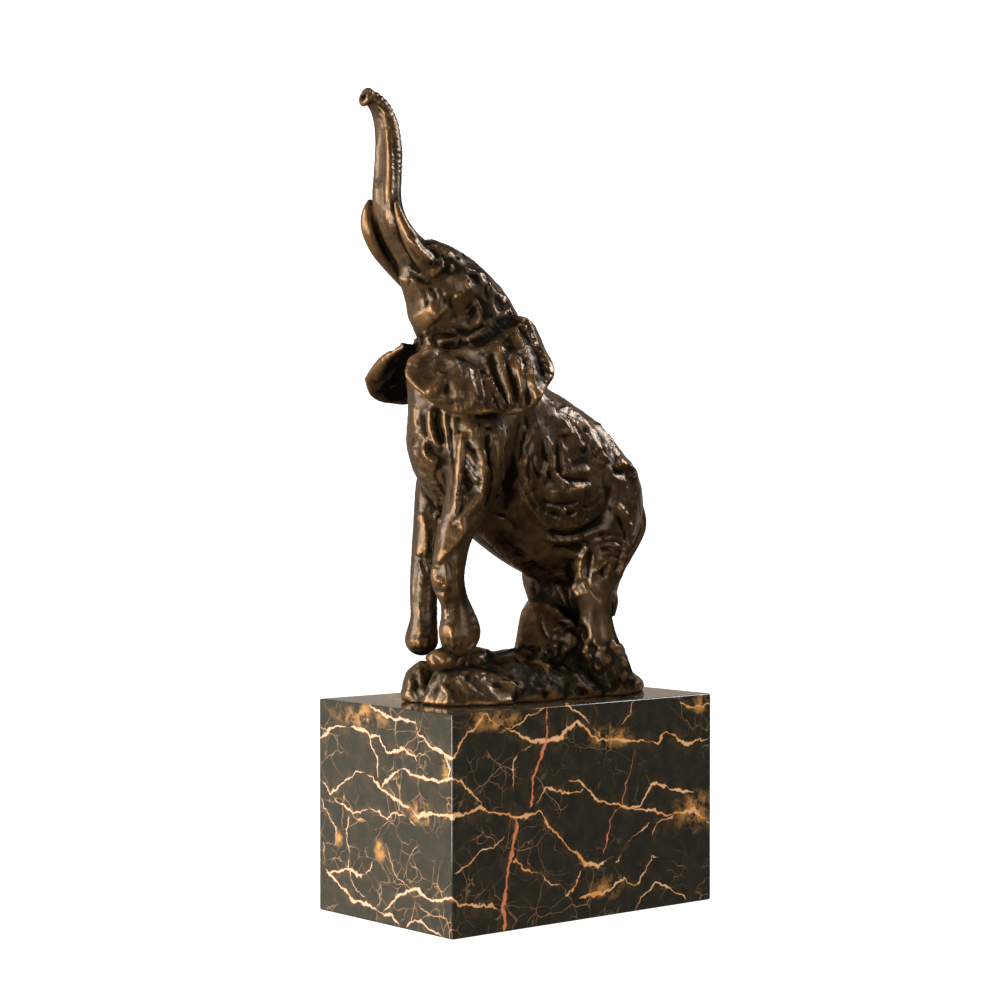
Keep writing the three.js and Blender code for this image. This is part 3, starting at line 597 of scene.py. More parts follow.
    def quads_across(self, inside, index, axis):
        """A quad round each grid edge along this axis that runs through the surface."""
        n = self.shape
        u, w = [k for k in range(3) if k != axis]
        here = [slice(None)] * 3
        here[u] = slice(1, n[u] - 1)
        here[w] = slice(1, n[w] - 1)
        there = list(here)
        here[axis] = slice(0, n[axis] - 1)
        there[axis] = slice(1, n[axis])
        edges = np.argwhere(inside[tuple(here)] != inside[tuple(there)])
        leaving = inside[tuple(here)][tuple(edges.T)]
        edges[:, [u, w]] += 1
        ring = []
        for du, dw in ((1, 1), (0, 1), (0, 0), (1, 0)):
            place = edges.copy()
            place[:, u] -= du
            place[:, w] -= dw
            ring.append(index[tuple(place.T)])
        quad = np.stack(ring, 1)
        keep = leaving if axis != 1 else ~leaving
        quad[~keep] = quad[~keep][:, ::-1]
        return quad

    def read(self, points):
        """The distance held at any places, between the grid points."""
        place = np.clip((np.asarray(points) - self.low) / self.cell, 0, self.shape - 1.001)
        base = place.astype(int)
        share = place - base
        total = 0
        for corner in np.ndindex(2, 2, 2):
            weight = np.prod(np.where(corner, share, 1 - share), axis=1)
            total = total + weight * self.field[tuple((base + corner).T)]
        return total


# ---------------------------------------------------------------- surfaces as points and faces

def edges_of(faces):
    """Each edge of the faces once."""
    loops = [(k, (k + 1) % faces.shape[1]) for k in range(faces.shape[1])]
    pairs = np.vstack([faces[:, pair] for pair in loops])
    return np.unique(np.sort(pairs, axis=1), axis=0)


def spread(values, edges):
    """The mean of each point's neighbours."""
    values = np.asarray(values, float)
    count = len(values)
    flat = values.reshape(count, -1)
    total = np.zeros_like(flat)
    for k in range(flat.shape[1]):
        total[:, k] = (np.bincount(edges[:, 0], flat[edges[:, 1], k], count)
                       + np.bincount(edges[:, 1], flat[edges[:, 0], k], count))
    near = np.bincount(edges.ravel(), minlength=count)
    return (total / np.maximum(near, 1)[:, None]).reshape(values.shape)


def relax(points, edges, times, amount=0.5):
    """Softens a surface without shrinking it much: each smoothing step is partly undone."""
    for _ in range(times):
        points = points + amount * (spread(points, edges) - points)
        points = points - amount * 1.04 * (spread(points, edges) - points)
    return points


def melt(values, edges, times, amount=0.5):
    """Evens values out along the edges."""
    for _ in range(times):
        values = values + amount * (spread(values, edges) - values)
    return values


def normals_of(points, faces):
    """The way each point of a surface of quads looks."""
    a, b, c, d = (points[faces[:, k]] for k in range(4))
    across = np.cross(c - a, d - b)
    total = np.zeros((len(points), 3))
    for k in range(3):
        total[:, k] = np.bincount(faces.ravel(), np.repeat(across[:, k], 4), len(points))
    return unit(total)


def ripple(points, scale, seed, waves=9):
    """Smooth random swells from -1 to 1 with about this spacing."""
    draw = np.random.default_rng(seed)
    total = 0
    for _ in range(waves):
        way = unit(draw.normal(size=3)) * draw.uniform(0.7, 1.4) * 2 * np.pi / scale
        total = total + np.sin(points @ way + draw.uniform(0, 2 * np.pi))
    return total / (0.7 * waves) ** 0.5 / 1.6


def nearest_of(points, seeds, batch=64):
    """The seed nearest to each point."""
    best = np.full(len(points), np.inf)
    index = np.zeros(len(points), int)
    for first in range(0, len(seeds), batch):
        part = seeds[first:first + batch]
        gaps = ((points ** 2).sum(1)[:, None] - 2 * points @ part.T + (part ** 2).sum(1)[None, :])
        here = gaps.argmin(1)
        gap = gaps[np.arange(len(points)), here]
        closer = gap < best
        best[closer] = gap[closer]
        index[closer] = here[closer] + first
    return index


def facet(points, normals, picked, every, strength, seed, limit):
    """Presses the picked points towards the plane of the nearest of some scattered seeds,
    which leaves the flat dabs of a palette knife."""
    draw = np.random.default_rng(seed)
    chosen = np.flatnonzero(picked)
    seeds = draw.choice(chosen, max(8, int(len(chosen) / every)), replace=False)
    place = points[chosen] + ripple(points[chosen], 5, seed + 1)[:, None] * 0.9
    mine = nearest_of(place, points[seeds])
    middle = points[seeds][mine]
    plane = normals[seeds][mine]
    off = ((points[chosen] - middle) * plane).sum(1)
    move = np.clip(off, -limit, limit) * strength
    moved = points.copy()
    moved[chosen] -= plane * move[:, None]
    return moved


# ---------------------------------------------------------------- the elephant in clay

def barrel(clay, rows, soft=4.0, steps=4):
    """The body through upright sections: each row holds its back and belly [y, z] and half width."""
    table = np.array([list(back) + list(belly) + [half] for back, belly, half in rows], float)
    line = flow(table, (len(table) - 1) * steps + 1)
    middle = np.stack([np.zeros(len(line)), (line[:, 0] + line[:, 2]) / 2,
                       (line[:, 1] + line[:, 3]) / 2], 1)
    rise = np.stack([np.zeros(len(line)), line[:, 0] - line[:, 2], line[:, 1] - line[:, 3]], 1)
    depth = np.linalg.norm(rise, axis=1) / 2
    rise = unit(rise)
    ahead = np.cross([1.0, 0, 0], rise)
    if ((middle[-1] - middle[0]) @ ahead[0]) < 0:
        ahead = -ahead
    reach = max(line[:, 4].max(), depth.max()) + soft
    box, (x, y, z) = clay.window(middle.min(0) - reach, middle.max(0) + reach)
    nearest = np.full((x.size, y.size, z.size), EMPTY, np.float32)
    yz_y, yz_z = np.meshgrid(y.ravel(), z.ravel(), indexing="ij")
    side = x.reshape(-1, 1)
    for k in range(len(line) - 1):
        past_a, past_b = ((yz_y - middle[j][1]) * ahead[j][1] + (yz_z - middle[j][2]) * ahead[j][2]
                          for j in (k, k + 1))
        near = (past_a >= -0.6) & (past_b <= 0.6) & (past_a - past_b > 0.05)
        where = np.flatnonzero(near.ravel())
        if not len(where):
            continue
        share = np.clip(past_a.ravel()[where] / (past_a - past_b).ravel()[where], 0, 1)[None, :]
        centre_y = middle[k][1] + (middle[k + 1][1] - middle[k][1]) * share
        centre_z = middle[k][2] + (middle[k + 1][2] - middle[k][2]) * share
        up_y = rise[k][1] + (rise[k + 1][1] - rise[k][1]) * share
        up_z = rise[k][2] + (rise[k + 1][2] - rise[k][2]) * share
        wide = line[k][4] + (line[k + 1][4] - line[k][4]) * share
        deep = depth[k] + (depth[k + 1] - depth[k]) * share
        up = (yz_y.ravel()[where] - centre_y) * up_y + (yz_z.ravel()[where] - centre_z) * up_z
        outer = np.sqrt((side / wide) ** 2 + (up / deep) ** 2) + TINY
        slope = np.sqrt((side / wide ** 2) ** 2 + (up / deep ** 2) ** 2) + TINY
        distance = (outer * (outer - 1) / slope).astype(np.float32)
        flat = nearest.reshape(x.size, -1)
        flat[:, where] = np.minimum(flat[:, where], distance)
    clay.blend(box, nearest, soft)


def ear(clay, shape, spacing=0.8, soft=2.0, half=1.5):
    """A cupped, folded sheet between its root on the head and its free edge."""
    length = np.linalg.norm(np.diff(np.array(shape["edge"]), axis=0), axis=1).sum()
    along = int(length / spacing)
    down = int(EAR_DEPTH / spacing)
    root = flow(shape["root"], along)
    edge = flow(shape["edge"], along)
    place = np.linspace(0, 1, along)[:, None]
    t = np.linspace(0, 1, down)[None, :]
    out = unit(shape["face"])
    height = shape["bulge"] * np.sin(np.pi * t) + 0 * place
    for where, width, rise, start in shape["folds"]:
        grow = np.clip((t - start) / (1 - start), 0, 1)
        height = height + rise * grow * np.exp(-((place - where) / width) ** 2)
    sheet = root[:, None, :] + (edge - root)[:, None, :] * t[..., None] + out * height[..., None]
    clay.sheet(sheet, half * (1.3 - 0.5 * t) + 0 * place, soft)


def planes_of(corners, at):
    """The outward planes of the smallest block that holds the corners."""
    corners = np.asarray(corners, float)
    planes = []
    for i in range(len(corners)):
        for j in range(i + 1, len(corners)):
            for k in range(j + 1, len(corners)):
                n = unit(np.cross(corners[j] - corners[i], corners[k] - corners[i]))
                side = (corners - corners[i]) @ n
                if side.max() < TINY:
                    planes.append((n, float((corners[i] - at) @ n)))
                elif side.min() > -TINY:
                    planes.append((-n, float(-(corners[i] - at) @ n)))
    return planes


def mound(clay, soft=3.0):
    """The low rise of ground: its height falls from the ridge to the outline."""
    outline = np.array(MOUND, float) - (0, MOUND_MIDDLE)
    angle = np.arctan2(outline[:, 1], outline[:, 0])
    order = np.argsort(angle)
    angle, radius = angle[order], np.linalg.norm(outline, axis=1)[order]
    box, (x, y, z) = clay.window((-34, -60, clay.low[2]), (34, 74, 114))
    turn = np.arctan2(y - MOUND_MIDDLE, x + 0 * y)
    reach = np.interp(turn, np.r_[angle[-1] - 2 * np.pi, angle, angle[0] + 2 * np.pi],
                      np.r_[radius[-1], radius, radius[0]])
    span = np.hypot(x, y - MOUND_MIDDLE)
    share = span / reach
    levels = np.array(MOUND_LEVELS)[::-1]
    height = np.interp(share, np.r_[0, levels[:, 1]], np.r_[MOUND_TOP, levels[:, 0]])
    distance = np.maximum((z - height) * 0.8, span - reach)
    clay.blend(box, distance.astype(np.float32), soft)


def add_mass(clay, mass):
    """A rounded mass from its row of middle, half sizes, fillet and degrees raised."""
    at, size, soft, raised = mass
    clay.mass(at, size, soft, pitched(raised))


def model_elephant(cell):
    """The whole bronze as one solid, with a flat underside."""
    clay = Clay((-50, -82, GROUND - 4), (50, 80, 349), cell)
    barrel(clay, BODY)
    for mass in RUMP_AND_FACE:
        add_mass(clay, mass)
    clay.limb(TRUNK, 3, flat=TRUNK_FLAT)
    for stations, soft in LIMBS:
        clay.limb(stations, soft)
    for shape in (LEFT_EAR, RIGHT_EAR):
        ear(clay, shape)
    mound(clay)
    for mass in GROUND_MASSES:
        add_mass(clay, mass)
    for corners, worn in ROCKS:
        at = np.mean(corners, axis=0)
        clay.block(at, planes_of(corners, at), 2, worn, 42)
    add_mass(clay, STONE_UNDER_FOOT)
    nostrils(clay)
    clay.flatten_below(GROUND)
    return clay


def nostrils(clay):
    """The flared tip of the trunk with its rim and two nostrils."""
    tip = np.array(TRUNK_TIP)
    ahead = unit(TIP_AHEAD)
    across = unit(np.cross(ahead, [0, 0, 1]))
    turn = [across, ahead, np.cross(across, ahead)]
    clay.mass(tip, (4.3, 1.9, 4.2), 1.2, turn)
    clay.mass(tip + ahead * 2.2, (2.9, 1.6, 2.9), 0.6, turn, cut=True)
    for side in (-1.25, 1.25):
        clay.mass(tip + ahead * 0.8 + across * side, (0.95, 1.8, 1.3), 0.4, turn, cut=True)


# ---------------------------------------------------------------- folds and tool marks

# Heights of the ground and the body: the top of the stone, where the worked flesh starts, the
# slope that carries grains, the knee and the poll.
STONE_TOP = 112
FLESH_FOOT = 128
SLOPE = (99, 113)
SLOPE_HALF_LENGTH = 34
KNEE = 150
POLL = 262
FLANK_MIDDLE = (14, 178)
RING_STEPS = 160


class Side:
    """The surface as it stands out towards one side, to set marks on it as seen from there."""

    def __init__(self, points, turn, mirrored=False, step=1.3):
        angle = np.radians(turn)
        flip = -1 if mirrored else 1
        self.across = np.array([flip * np.cos(angle), np.sin(angle), 0])
        self.outward = np.array([flip * np.sin(angle), -np.cos(angle), 0])
        self.step = step
        flat = np.stack([points @ self.across, points[:, 2]], 1)
        self.low = flat.min(0)
        size = np.ceil((flat.max(0) - self.low) / step).astype(int) + 2
        index = ((flat - self.low) / step).astype(int)
        self.out = np.full(size, -np.inf)
        np.maximum.at(self.out, tuple(index.T), points @ self.outward)
        for _ in range(3):
            around = [np.roll(self.out, (i, j), (0, 1)) for i in (-1, 0, 1) for j in (-1, 0, 1)]
            self.out = np.where(np.isinf(self.out), np.max(around, axis=0), self.out)

    def on_surface(self, path):
        """The places of a path of (across, up) on the surface."""
        index = np.clip(((path - self.low) / self.step).astype(int), 0, np.array(self.out.shape) - 1)
        out = self.out[tuple(index.T)]
        known = np.isfinite(out)
        path, out = path[known], out[known]
        if len(out) < 3:
            return np.zeros((0, 3))
        padded = np.r_[out[0], out, out[-1]]
        out = np.median([padded[:-2], padded[1:-1], padded[2:]], axis=0)
        return path[:, :1] * self.across + out[:, None] * self.outward + path[:, 1:] * np.array([0, 0, 1.0])


def bent(start, bend, end, spacing=0.8):
    """A bent line through three places."""
    start, bend, end = (np.asarray(place, float) for place in (start, bend, end))
    pull = 2 * bend - (start + end) / 2
    length = np.linalg.norm(bend - start) + np.linalg.norm(end - bend)
    t = np.linspace(0, 1, max(4, int(length / spacing)))[:, None]
    return start * (1 - t) ** 2 + pull * 2 * t * (1 - t) + end * t ** 2


def spread_marks(rows):
    """Each mark of the rows as (width, height, three places)."""
    for width, height, first, *rest in rows:
        if not rest:
            yield width, height, np.array(first, float)
            continue
        first, last, count = np.array(first, float), np.array(rest[0], float), rest[1]
        for share in np.linspace(0, 1, count):
            yield width, height, first + (last - first) * share


def press(points, normals, move, line, width, height):
    """Adds a ridge or a cut along a line to how far each point moves. A ridge slopes gently up
    from one side and falls away steeply on the other: the right-hand one where it runs down."""
    reach = width * (3.4 if height > 0 else 2.6)
    near = np.flatnonzero(((points > line.min(0) - reach) & (points < line.max(0) + reach)).all(1))
    if not len(near):
        return
    gaps = np.linalg.norm(points[near, None, :] - line[None, :, :], axis=2)
    index = gaps.argmin(1)
    gap = gaps[np.arange(len(near)), index]
    close = gap < reach
    near, index, gap = near[close], index[close], gap[close]
    along = unit(np.gradient(line, axis=0))
    beside = np.cross(normals[near], along[index])
    side = ((points[near] - line[index]) * beside).sum(1)
    share = index / (len(line) - 1)
    fade = np.minimum(1, 2.4 * np.sqrt(np.clip(share * (1 - share), 0, 1)) + 0.1)
    if height > 0:
        slope = np.clip(1 - gap / (3.3 * width), 0, 1)
        push = 1.35 * height * np.where(side > 0, np.exp(-(gap / (0.55 * width)) ** 1.4), slope)
    else:
        push = 0.66 * height * np.clip(1 - gap / (1.5 * width), 0, 1)
        push -= 0.15 * height * np.exp(-((gap - 1.9 * width) / (0.7 * width)) ** 2)
    np.add.at(move, near, push * fade)


def set_marks(points, normals, move, rows, turn, seed, mirrored=False, strength=1.0):
    """Presses all the rows' marks in, as seen from this turn, each a little unsteady."""
    draw = np.random.default_rng(seed)
    side = Side(points, turn, mirrored)
    for width, height, places in spread_marks(rows):
        path = bent(*places)
        drift = draw.normal(size=(3, 2)) * 0.35
        path = path + flow(drift, len(path))
        line = side.on_surface(path)
        if len(line):
            press(points, normals, move, line, width, height * strength)


class Bins:
    """Which points lie in each cube of space."""

    def __init__(self, points, size):
        self.size = size
        code = self.code_of(np.floor(points / size).astype(int))
        order = np.argsort(code, kind="stable")
        values, starts = np.unique(code[order], return_index=True)
        self.members = dict(zip(values.tolist(), np.split(order, starts[1:])))

    @staticmethod
    def code_of(keys):
        """One number for each cube."""
        return (keys[..., 0] * 1000 + keys[..., 1]) * 1000 + keys[..., 2]

    def around(self, place):
        """The points in the place's own cube and the 26 beside it."""
        key = np.floor(place / self.size).astype(int)
        codes = [int(self.code_of(key + np.array(step) - 1)) for step in np.ndindex(3, 3, 3)]
        return np.concatenate([self.members[code] for code in codes if code in self.members])


def dabs(points, normals, move, picked, count, seed, height, length, width=(0.9, 1.9)):
    """Short strokes of the modelling tool scattered over the surface along its flow."""
    draw = np.random.default_rng(seed)
    bins = Bins(points, length[1] / 2 + 2.5 * width[1])
    for at in draw.choice(np.flatnonzero(picked), count):
        centre, normal = points[at], normals[at]
        way = body_flow(centre) + draw.normal(size=3) * 0.35
        way = unit(way - (way @ normal) * normal)
        half = draw.uniform(*length) / 2
        wide = draw.uniform(*width)
        rise = height * draw.uniform(0.5, 1.25) * draw.choice((-1, 1))
        near = bins.around(centre)
        off = points[near] - centre
        ahead = off @ way
        rest = off - ahead[:, None] * way
        gap = np.linalg.norm(rest, axis=1)
        beside = rest @ np.cross(normal, way)
        breadth = np.where(beside > 0, 0.6, 1.2) * wide
        push = rise * np.exp(-(gap / breadth) ** 2) * np.clip(1.3 - 1.3 * (ahead / half) ** 2, 0, 1)
        push[(normals[near] @ normal) < 0.2] = 0
        move[near] += push


def rings(points, normals, move, stations, spacing, height, seed, picked=None):
    """Fine wrinkles round a limb."""
    rows = np.asarray(stations, float)
    line = flow(rows, RING_STEPS)
    reach = line[:, 3:].max() * 1.7
    low, high = line[:, :3].min(0) - reach, line[:, :3].max(0) + reach
    near = np.flatnonzero(((points > low) & (points < high)).all(1))
    gaps = np.linalg.norm(points[near, None, :] - line[None, :, :3], axis=2)
    index = gaps.argmin(1)
    close = gaps[np.arange(len(near)), index] < line[index, 3:].max(1) * 1.5
    close &= (index > 1) & (index < RING_STEPS - 2)
    near, index = near[close], index[close]
    length = np.r_[0, np.linalg.norm(np.diff(line[:, :3], axis=0), axis=1).cumsum()]
    along = unit(np.gradient(line[:, :3], axis=0))
    place = length[index] + ((points[near] - line[index, :3]) * along[index]).sum(1)
    place = place + ripple(points[near], 9, seed) * spacing * 0.45
    wave = np.abs(np.sin(np.pi * place / spacing)) - 0.64
    strength = 0.6 + 0.4 * ripple(points[near], 12, seed + 1)
    if picked is not None:
        strength = strength * picked(normals[near])
    move[near] += wave * height * strength


def pebbles(points, move, picked, count, size, height, seed):
    """Small grains and lumps, scattered."""
    draw = np.random.default_rng(seed)
    bins = Bins(points, size[1] * 2)
    for at in draw.choice(np.flatnonzero(picked), count):
        centre = points[at]
        radius = draw.uniform(*size)
        near = bins.around(centre)
        gap = np.linalg.norm(points[near] - centre, axis=1)
        rise = height * draw.uniform(0.4, 1) * draw.choice((-1, 1, 1))
        move[near] += rise * np.exp(-(gap / radius) ** 2)


def body_flow(place):
    """The way the tool runs: round the flank and down the legs and trunk."""
    y, z = place[1:]
    if z > POLL or z < KNEE:
        return np.array([0.0, 0.1, 1.0])
    round_flank = np.array([0.0, FLANK_MIDDLE[1] - z, y - FLANK_MIDDLE[0]]) / 28
    down = np.array([0.0, 0.35, -1.0])
    share = np.clip((y + 18) / 24, 0, 1)
    return unit(down * (1 - share) + round_flank * share)


def close_to(points, stations, reach):
    """Which points lie within reach of the middle of a limb."""
    line = flow(np.array([row[:3] for row in stations], float), 60)
    gap = np.full(len(points), 1e3)
    near = np.flatnonzero(((points > line.min(0) - reach) & (points < line.max(0) + reach)).all(1))
    gap[near] = np.linalg.norm(points[near, None, :] - line[None, :, :], axis=2).min(1)
    return gap < reach


def back_of_trunk(normals):
    """How far each place looks to the back and the left, where the trunk's wrinkles lie."""
    return np.clip(0.25 + 1.3 * normals[:, 1] + 0.7 * normals[:, 0], 0, 1)


def work_surface(points, faces):
    """Everything the tools leave on the clay before it is cast."""
    edges = edges_of(faces)

    def looks(evened):
        return unit(melt(normals_of(points, faces), edges, evened))

    height = points[:, 2]
    feet = close_to(points, LEFT_FORELEG[-3:], 11) | close_to(points, RIGHT_FORELEG[-2:], 9)
    stone = (height < STONE_TOP) & (height > GROUND + 0.6) & ~feet
    tusks = close_to(points, LEFT_TUSK, 4.6) | close_to(points, RIGHT_TUSK, 4.6)
    flesh = (height > FLESH_FOOT) & ~tusks & ~close_to(points, TRUNK[3:], 9)
    normals = looks(3)
    points = facet(points, normals, flesh, every=160, strength=0.16, seed=3, limit=0.5)
    points = facet(points, normals, stone, every=170, strength=0.7, seed=5, limit=1.1)
    points = relax(points, edges, 1)

    normals = looks(3)
    move = np.zeros(len(points))
    set_marks(points, normals, move, QUARTER_FOLDS, FRONT_QUARTER, 11)
    set_marks(points, normals, move, NECK + FLANK, FRONT_QUARTER, 12, mirrored=True, strength=0.7)
    set_marks(points, normals, move, BACK, REAR_QUARTER, 13, strength=0.8)
    points = points + normals * np.clip(move, -3, 2.4)[:, None]

    points = facet(points, looks(1), stone, every=60, strength=0.5, seed=7, limit=0.5)
    points = relax(points, edges, 1, 0.25)
    normals = looks(1)
    move = tool_marks(points, normals, flesh, stone)
    points = points + normals * np.clip(move, -1.2, 1.2)[:, None]
    points[:, 2] = np.maximum(points[:, 2], GROUND)
    return points


def tool_marks(points, normals, flesh, stone):
    """The fine marks: strokes, wrinkles round the trunk and forelegs, and grains on the ground."""
    move = np.zeros(len(points))
    sheet = close_to(points, LEFT_EAR_SHEET, 17) & (points[:, 0] > 16)
    dabs(points, normals, move, flesh & ~sheet, count=800, seed=21, height=0.15, length=(4, 10),
         width=(0.6, 1.2))
    dabs(points, normals, move, stone, count=260, seed=22, height=0.35, length=(3, 6))
    rings(points, normals, move, TRUNK[5:], spacing=1.9, height=0.75, seed=31, picked=back_of_trunk)
    rings(points, normals, move, LEFT_FORELEG[3:], spacing=3.2, height=0.16, seed=32)
    rings(points, normals, move, RIGHT_FORELEG[3:], spacing=3.0, height=0.18, seed=33)
    low, high = SLOPE
    slope = (points[:, 2] > low) & (points[:, 2] < high) & (np.abs(points[:, 1]) < SLOPE_HALF_LENGTH)
    pebbles(points, move, slope, count=190, size=(0.8, 1.5), height=0.5, seed=41)
    move[points[:, 2] < GROUND + 0.4] = 0
    return move


# ---------------------------------------------------------------- shader building

def new_group(name, inputs, outputs):
    """An empty shader group with named sockets: (name, kind, default)."""
    group = bpy.data.node_groups.new(name, "ShaderNodeTree")
    for side, sockets in (("INPUT", inputs), ("OUTPUT", outputs)):
        for title, kind, *value in sockets:
            socket = group.interface.new_socket(name=title, in_out=side, socket_type="NodeSocket" + kind)
            if value:
                socket.default_value = value[0]
    start = group.nodes.new("NodeGroupInput")
    end = group.nodes.new("NodeGroupOutput")
    return group, start, end


class Nodes:
    """Short ways to place and join shader nodes in a tree."""

    def __init__(self, tree):
        self.tree = tree

    def add(self, kind, settings=None, **inputs):
        """A node with its settings made and its named sockets fed."""
        node = self.tree.nodes.new("ShaderNode" + kind)
        for key, value in (settings or {}).items():
            setattr(node, key, value)
        for key, value in inputs.items():
            self.feed(node.inputs[key.replace("_", " ")], value)
        return node

    def feed(self, socket, value):
        """Links an output to a socket, or sets the socket to a plain value."""
        if isinstance(value, bpy.types.NodeSocket):
            self.tree.links.new(value, socket)
        else:
            socket.default_value = value

    def work_out(self, kind, settings, values):
        """The result of a node whose inputs are fed in their order."""
        node = self.add(kind, settings)
        for socket, value in zip(node.inputs, values):
            self.feed(socket, value)
        return node.outputs[0]

    def math(self, operation, *values, clamp=False):
        """Arithmetic on numbers."""
        return self.work_out("Math", {"operation": operation, "use_clamp": clamp}, values)

    def vector(self, operation, *values):
        """Arithmetic on places and directions."""
        return self.work_out("VectorMath", {"operation": operation}, values)

    def fit(self, value, low, high, to_low=0.0, to_high=1.0):
        """Stretches a range to another one, which it doesn't leave."""
        node = self.add("MapRange", {"clamp": True}, Value=value)
        for key, number in (("From Min", low), ("From Max", high), ("To Min", to_low), ("To Max", to_high)):
            self.feed(node.inputs[key], number)
        return node.outputs[0]

    def mix(self, share, a, b, blend="MIX"):
        """Colour a with a share of colour b laid over it."""
        node = self.tree.nodes.new("ShaderNodeMix")
        node.data_type = "RGBA"
        node.blend_type = blend
        self.feed(node.inputs[0], share)
        self.feed(node.inputs[6], a)
        self.feed(node.inputs[7], b)
        return node.outputs[2]

    def noise(self, where, scale, detail=4.0, rough=0.55):
        node = self.add("TexNoise", None, Vector=where, Scale=scale, Detail=detail, Roughness=rough)
        return node.outputs["Fac"]

    def attribute(self, name):
        return self.add("Attribute", {"attribute_name": name}).outputs["Fac"]

    def place(self):
        return self.add("TexCoord").outputs["Object"]


# ---------------------------------------------------------------- shared shader effects

def swirl_group():
    """Breaks a straight pattern up: moves a place by soft noise."""
    sockets = [("Place", "Vector"), ("Size", "Float", 20.0), ("Reach", "Float", 0.01)]
    group, start, end = new_group("Wandering", sockets, [("Place", "Vector")])
    n = Nodes(group)
    noise = n.add("TexNoise", None, Vector=start.outputs["Place"], Scale=start.outputs["Size"], Detail=3.0)
    centred = n.vector("SUBTRACT", noise.outputs["Color"], (0.5, 0.5, 0.5))
    scaled = n.add("VectorMath", {"operation": "SCALE"})
    n.feed(scaled.inputs[0], centred)
    n.feed(scaled.inputs["Scale"], start.outputs["Reach"])
    n.feed(end.inputs["Place"], n.vector("ADD", start.outputs["Place"], scaled.outputs[0]))
    return group


def smudge_group():
    """Handling marks: patches and fine specks that change how much a surface shines."""
    sockets = [("Place", "Vector"), ("Base", "Float", 0.3), ("Change", "Float", 0.1)]
    group, start, end = new_group("Handling marks", sockets, [("Roughness", "Float")])
    n = Nodes(group)
    patch = n.fit(n.noise(start.outputs["Place"], 28, 3), 0.35, 0.65)
    fine = n.fit(n.noise(start.outputs["Place"], 420, 3, 0.7), 0.3, 0.7, -0.5, 0.5)
    change = n.math("MULTIPLY", n.math("ADD", n.math("SUBTRACT", patch, 0.5), fine),
                    start.outputs["Change"])
    n.feed(end.inputs["Roughness"], n.math("ADD", start.outputs["Base"], change, clamp=True))
    return group


def place_group(n, group, **inputs):
    """One use of a shader group, with its sockets fed."""
    node = n.tree.nodes.new("ShaderNodeGroup")
    node.node_tree = group
    for key, value in inputs.items():
        n.feed(node.inputs[key], value)
    return node


def fresh_material(name):
    """A material with nothing but its surface and output."""
    material = bpy.data.materials.new(name)
    material.use_nodes = True
    tree = material.node_tree
    tree.nodes.clear()
    n = Nodes(tree)
    shader = n.add("BsdfPrincipled")
    out = n.add("OutputMaterial")
    tree.links.new(shader.outputs[0], out.inputs[0])
    return material, n, shader


# ---------------------------------------------------------------- bronze

PALE_MOTTLE = (0.2, 0.115, 0.05, 1)
DARK_MOTTLE = (0.012, 0.008, 0.005, 1)
# black of the hollows: dark patina together with painted shade
HOLLOW_AND_SHADE_BLACK = (0.0045, 0.0033, 0.0013, 1)
GREEN_BLOOM = (0.05, 0.062, 0.036, 1)


def patina_colour(n, at, mottle, deep, worn, look):
    """Browns in clouds and mottles, black in the hollows from dark patina and painted shade, gold on the
    worn edges, some green.
    """
    cloud = n.fit(n.noise(at, 55, 4, 0.6), 0.38, 0.66)
    brown = n.mix(cloud, tuple(look.bronze_dark) + (1,), tuple(look.bronze_mid) + (1,))
    brown = n.mix(n.math("MULTIPLY", n.fit(mottle, 0.48, 0.7), 0.2), brown, PALE_MOTTLE)
    brown = n.mix(n.math("MULTIPLY", n.fit(mottle, 0.52, 0.34), 0.3), brown, DARK_MOTTLE)
    # black in the hollows: dark patina with painted shade on top
    brown = n.mix(n.math("MULTIPLY", deep, 0.94), brown, HOLLOW_AND_SHADE_BLACK)
    colour = n.mix(worn, brown, tuple(look.bronze_gold) + (1,))
    low = n.math("MULTIPLY", n.attribute("ground"), 0.35)
    bloom = n.math("MULTIPLY", n.fit(n.noise(at, 120, 4, 0.65), 0.5, 0.68), low)
    return n.mix(bloom, colour, GREEN_BLOOM)


def patina_relief(n, at, mottle):
    """The fine height of the cast skin: mottles, grain and upright strokes of the brush."""
    grain = n.noise(at, 1500, 3, 0.6)
    strokes = n.noise(n.vector("MULTIPLY", at, (1.0, 1.0, 0.16)), 900, 3, 0.55)
    relief = n.math("ADD", n.math("MULTIPLY", mottle, 0.5), n.math("MULTIPLY", grain, 0.2))
    return n.math("ADD", relief, n.math("MULTIPLY", strokes, 0.8))


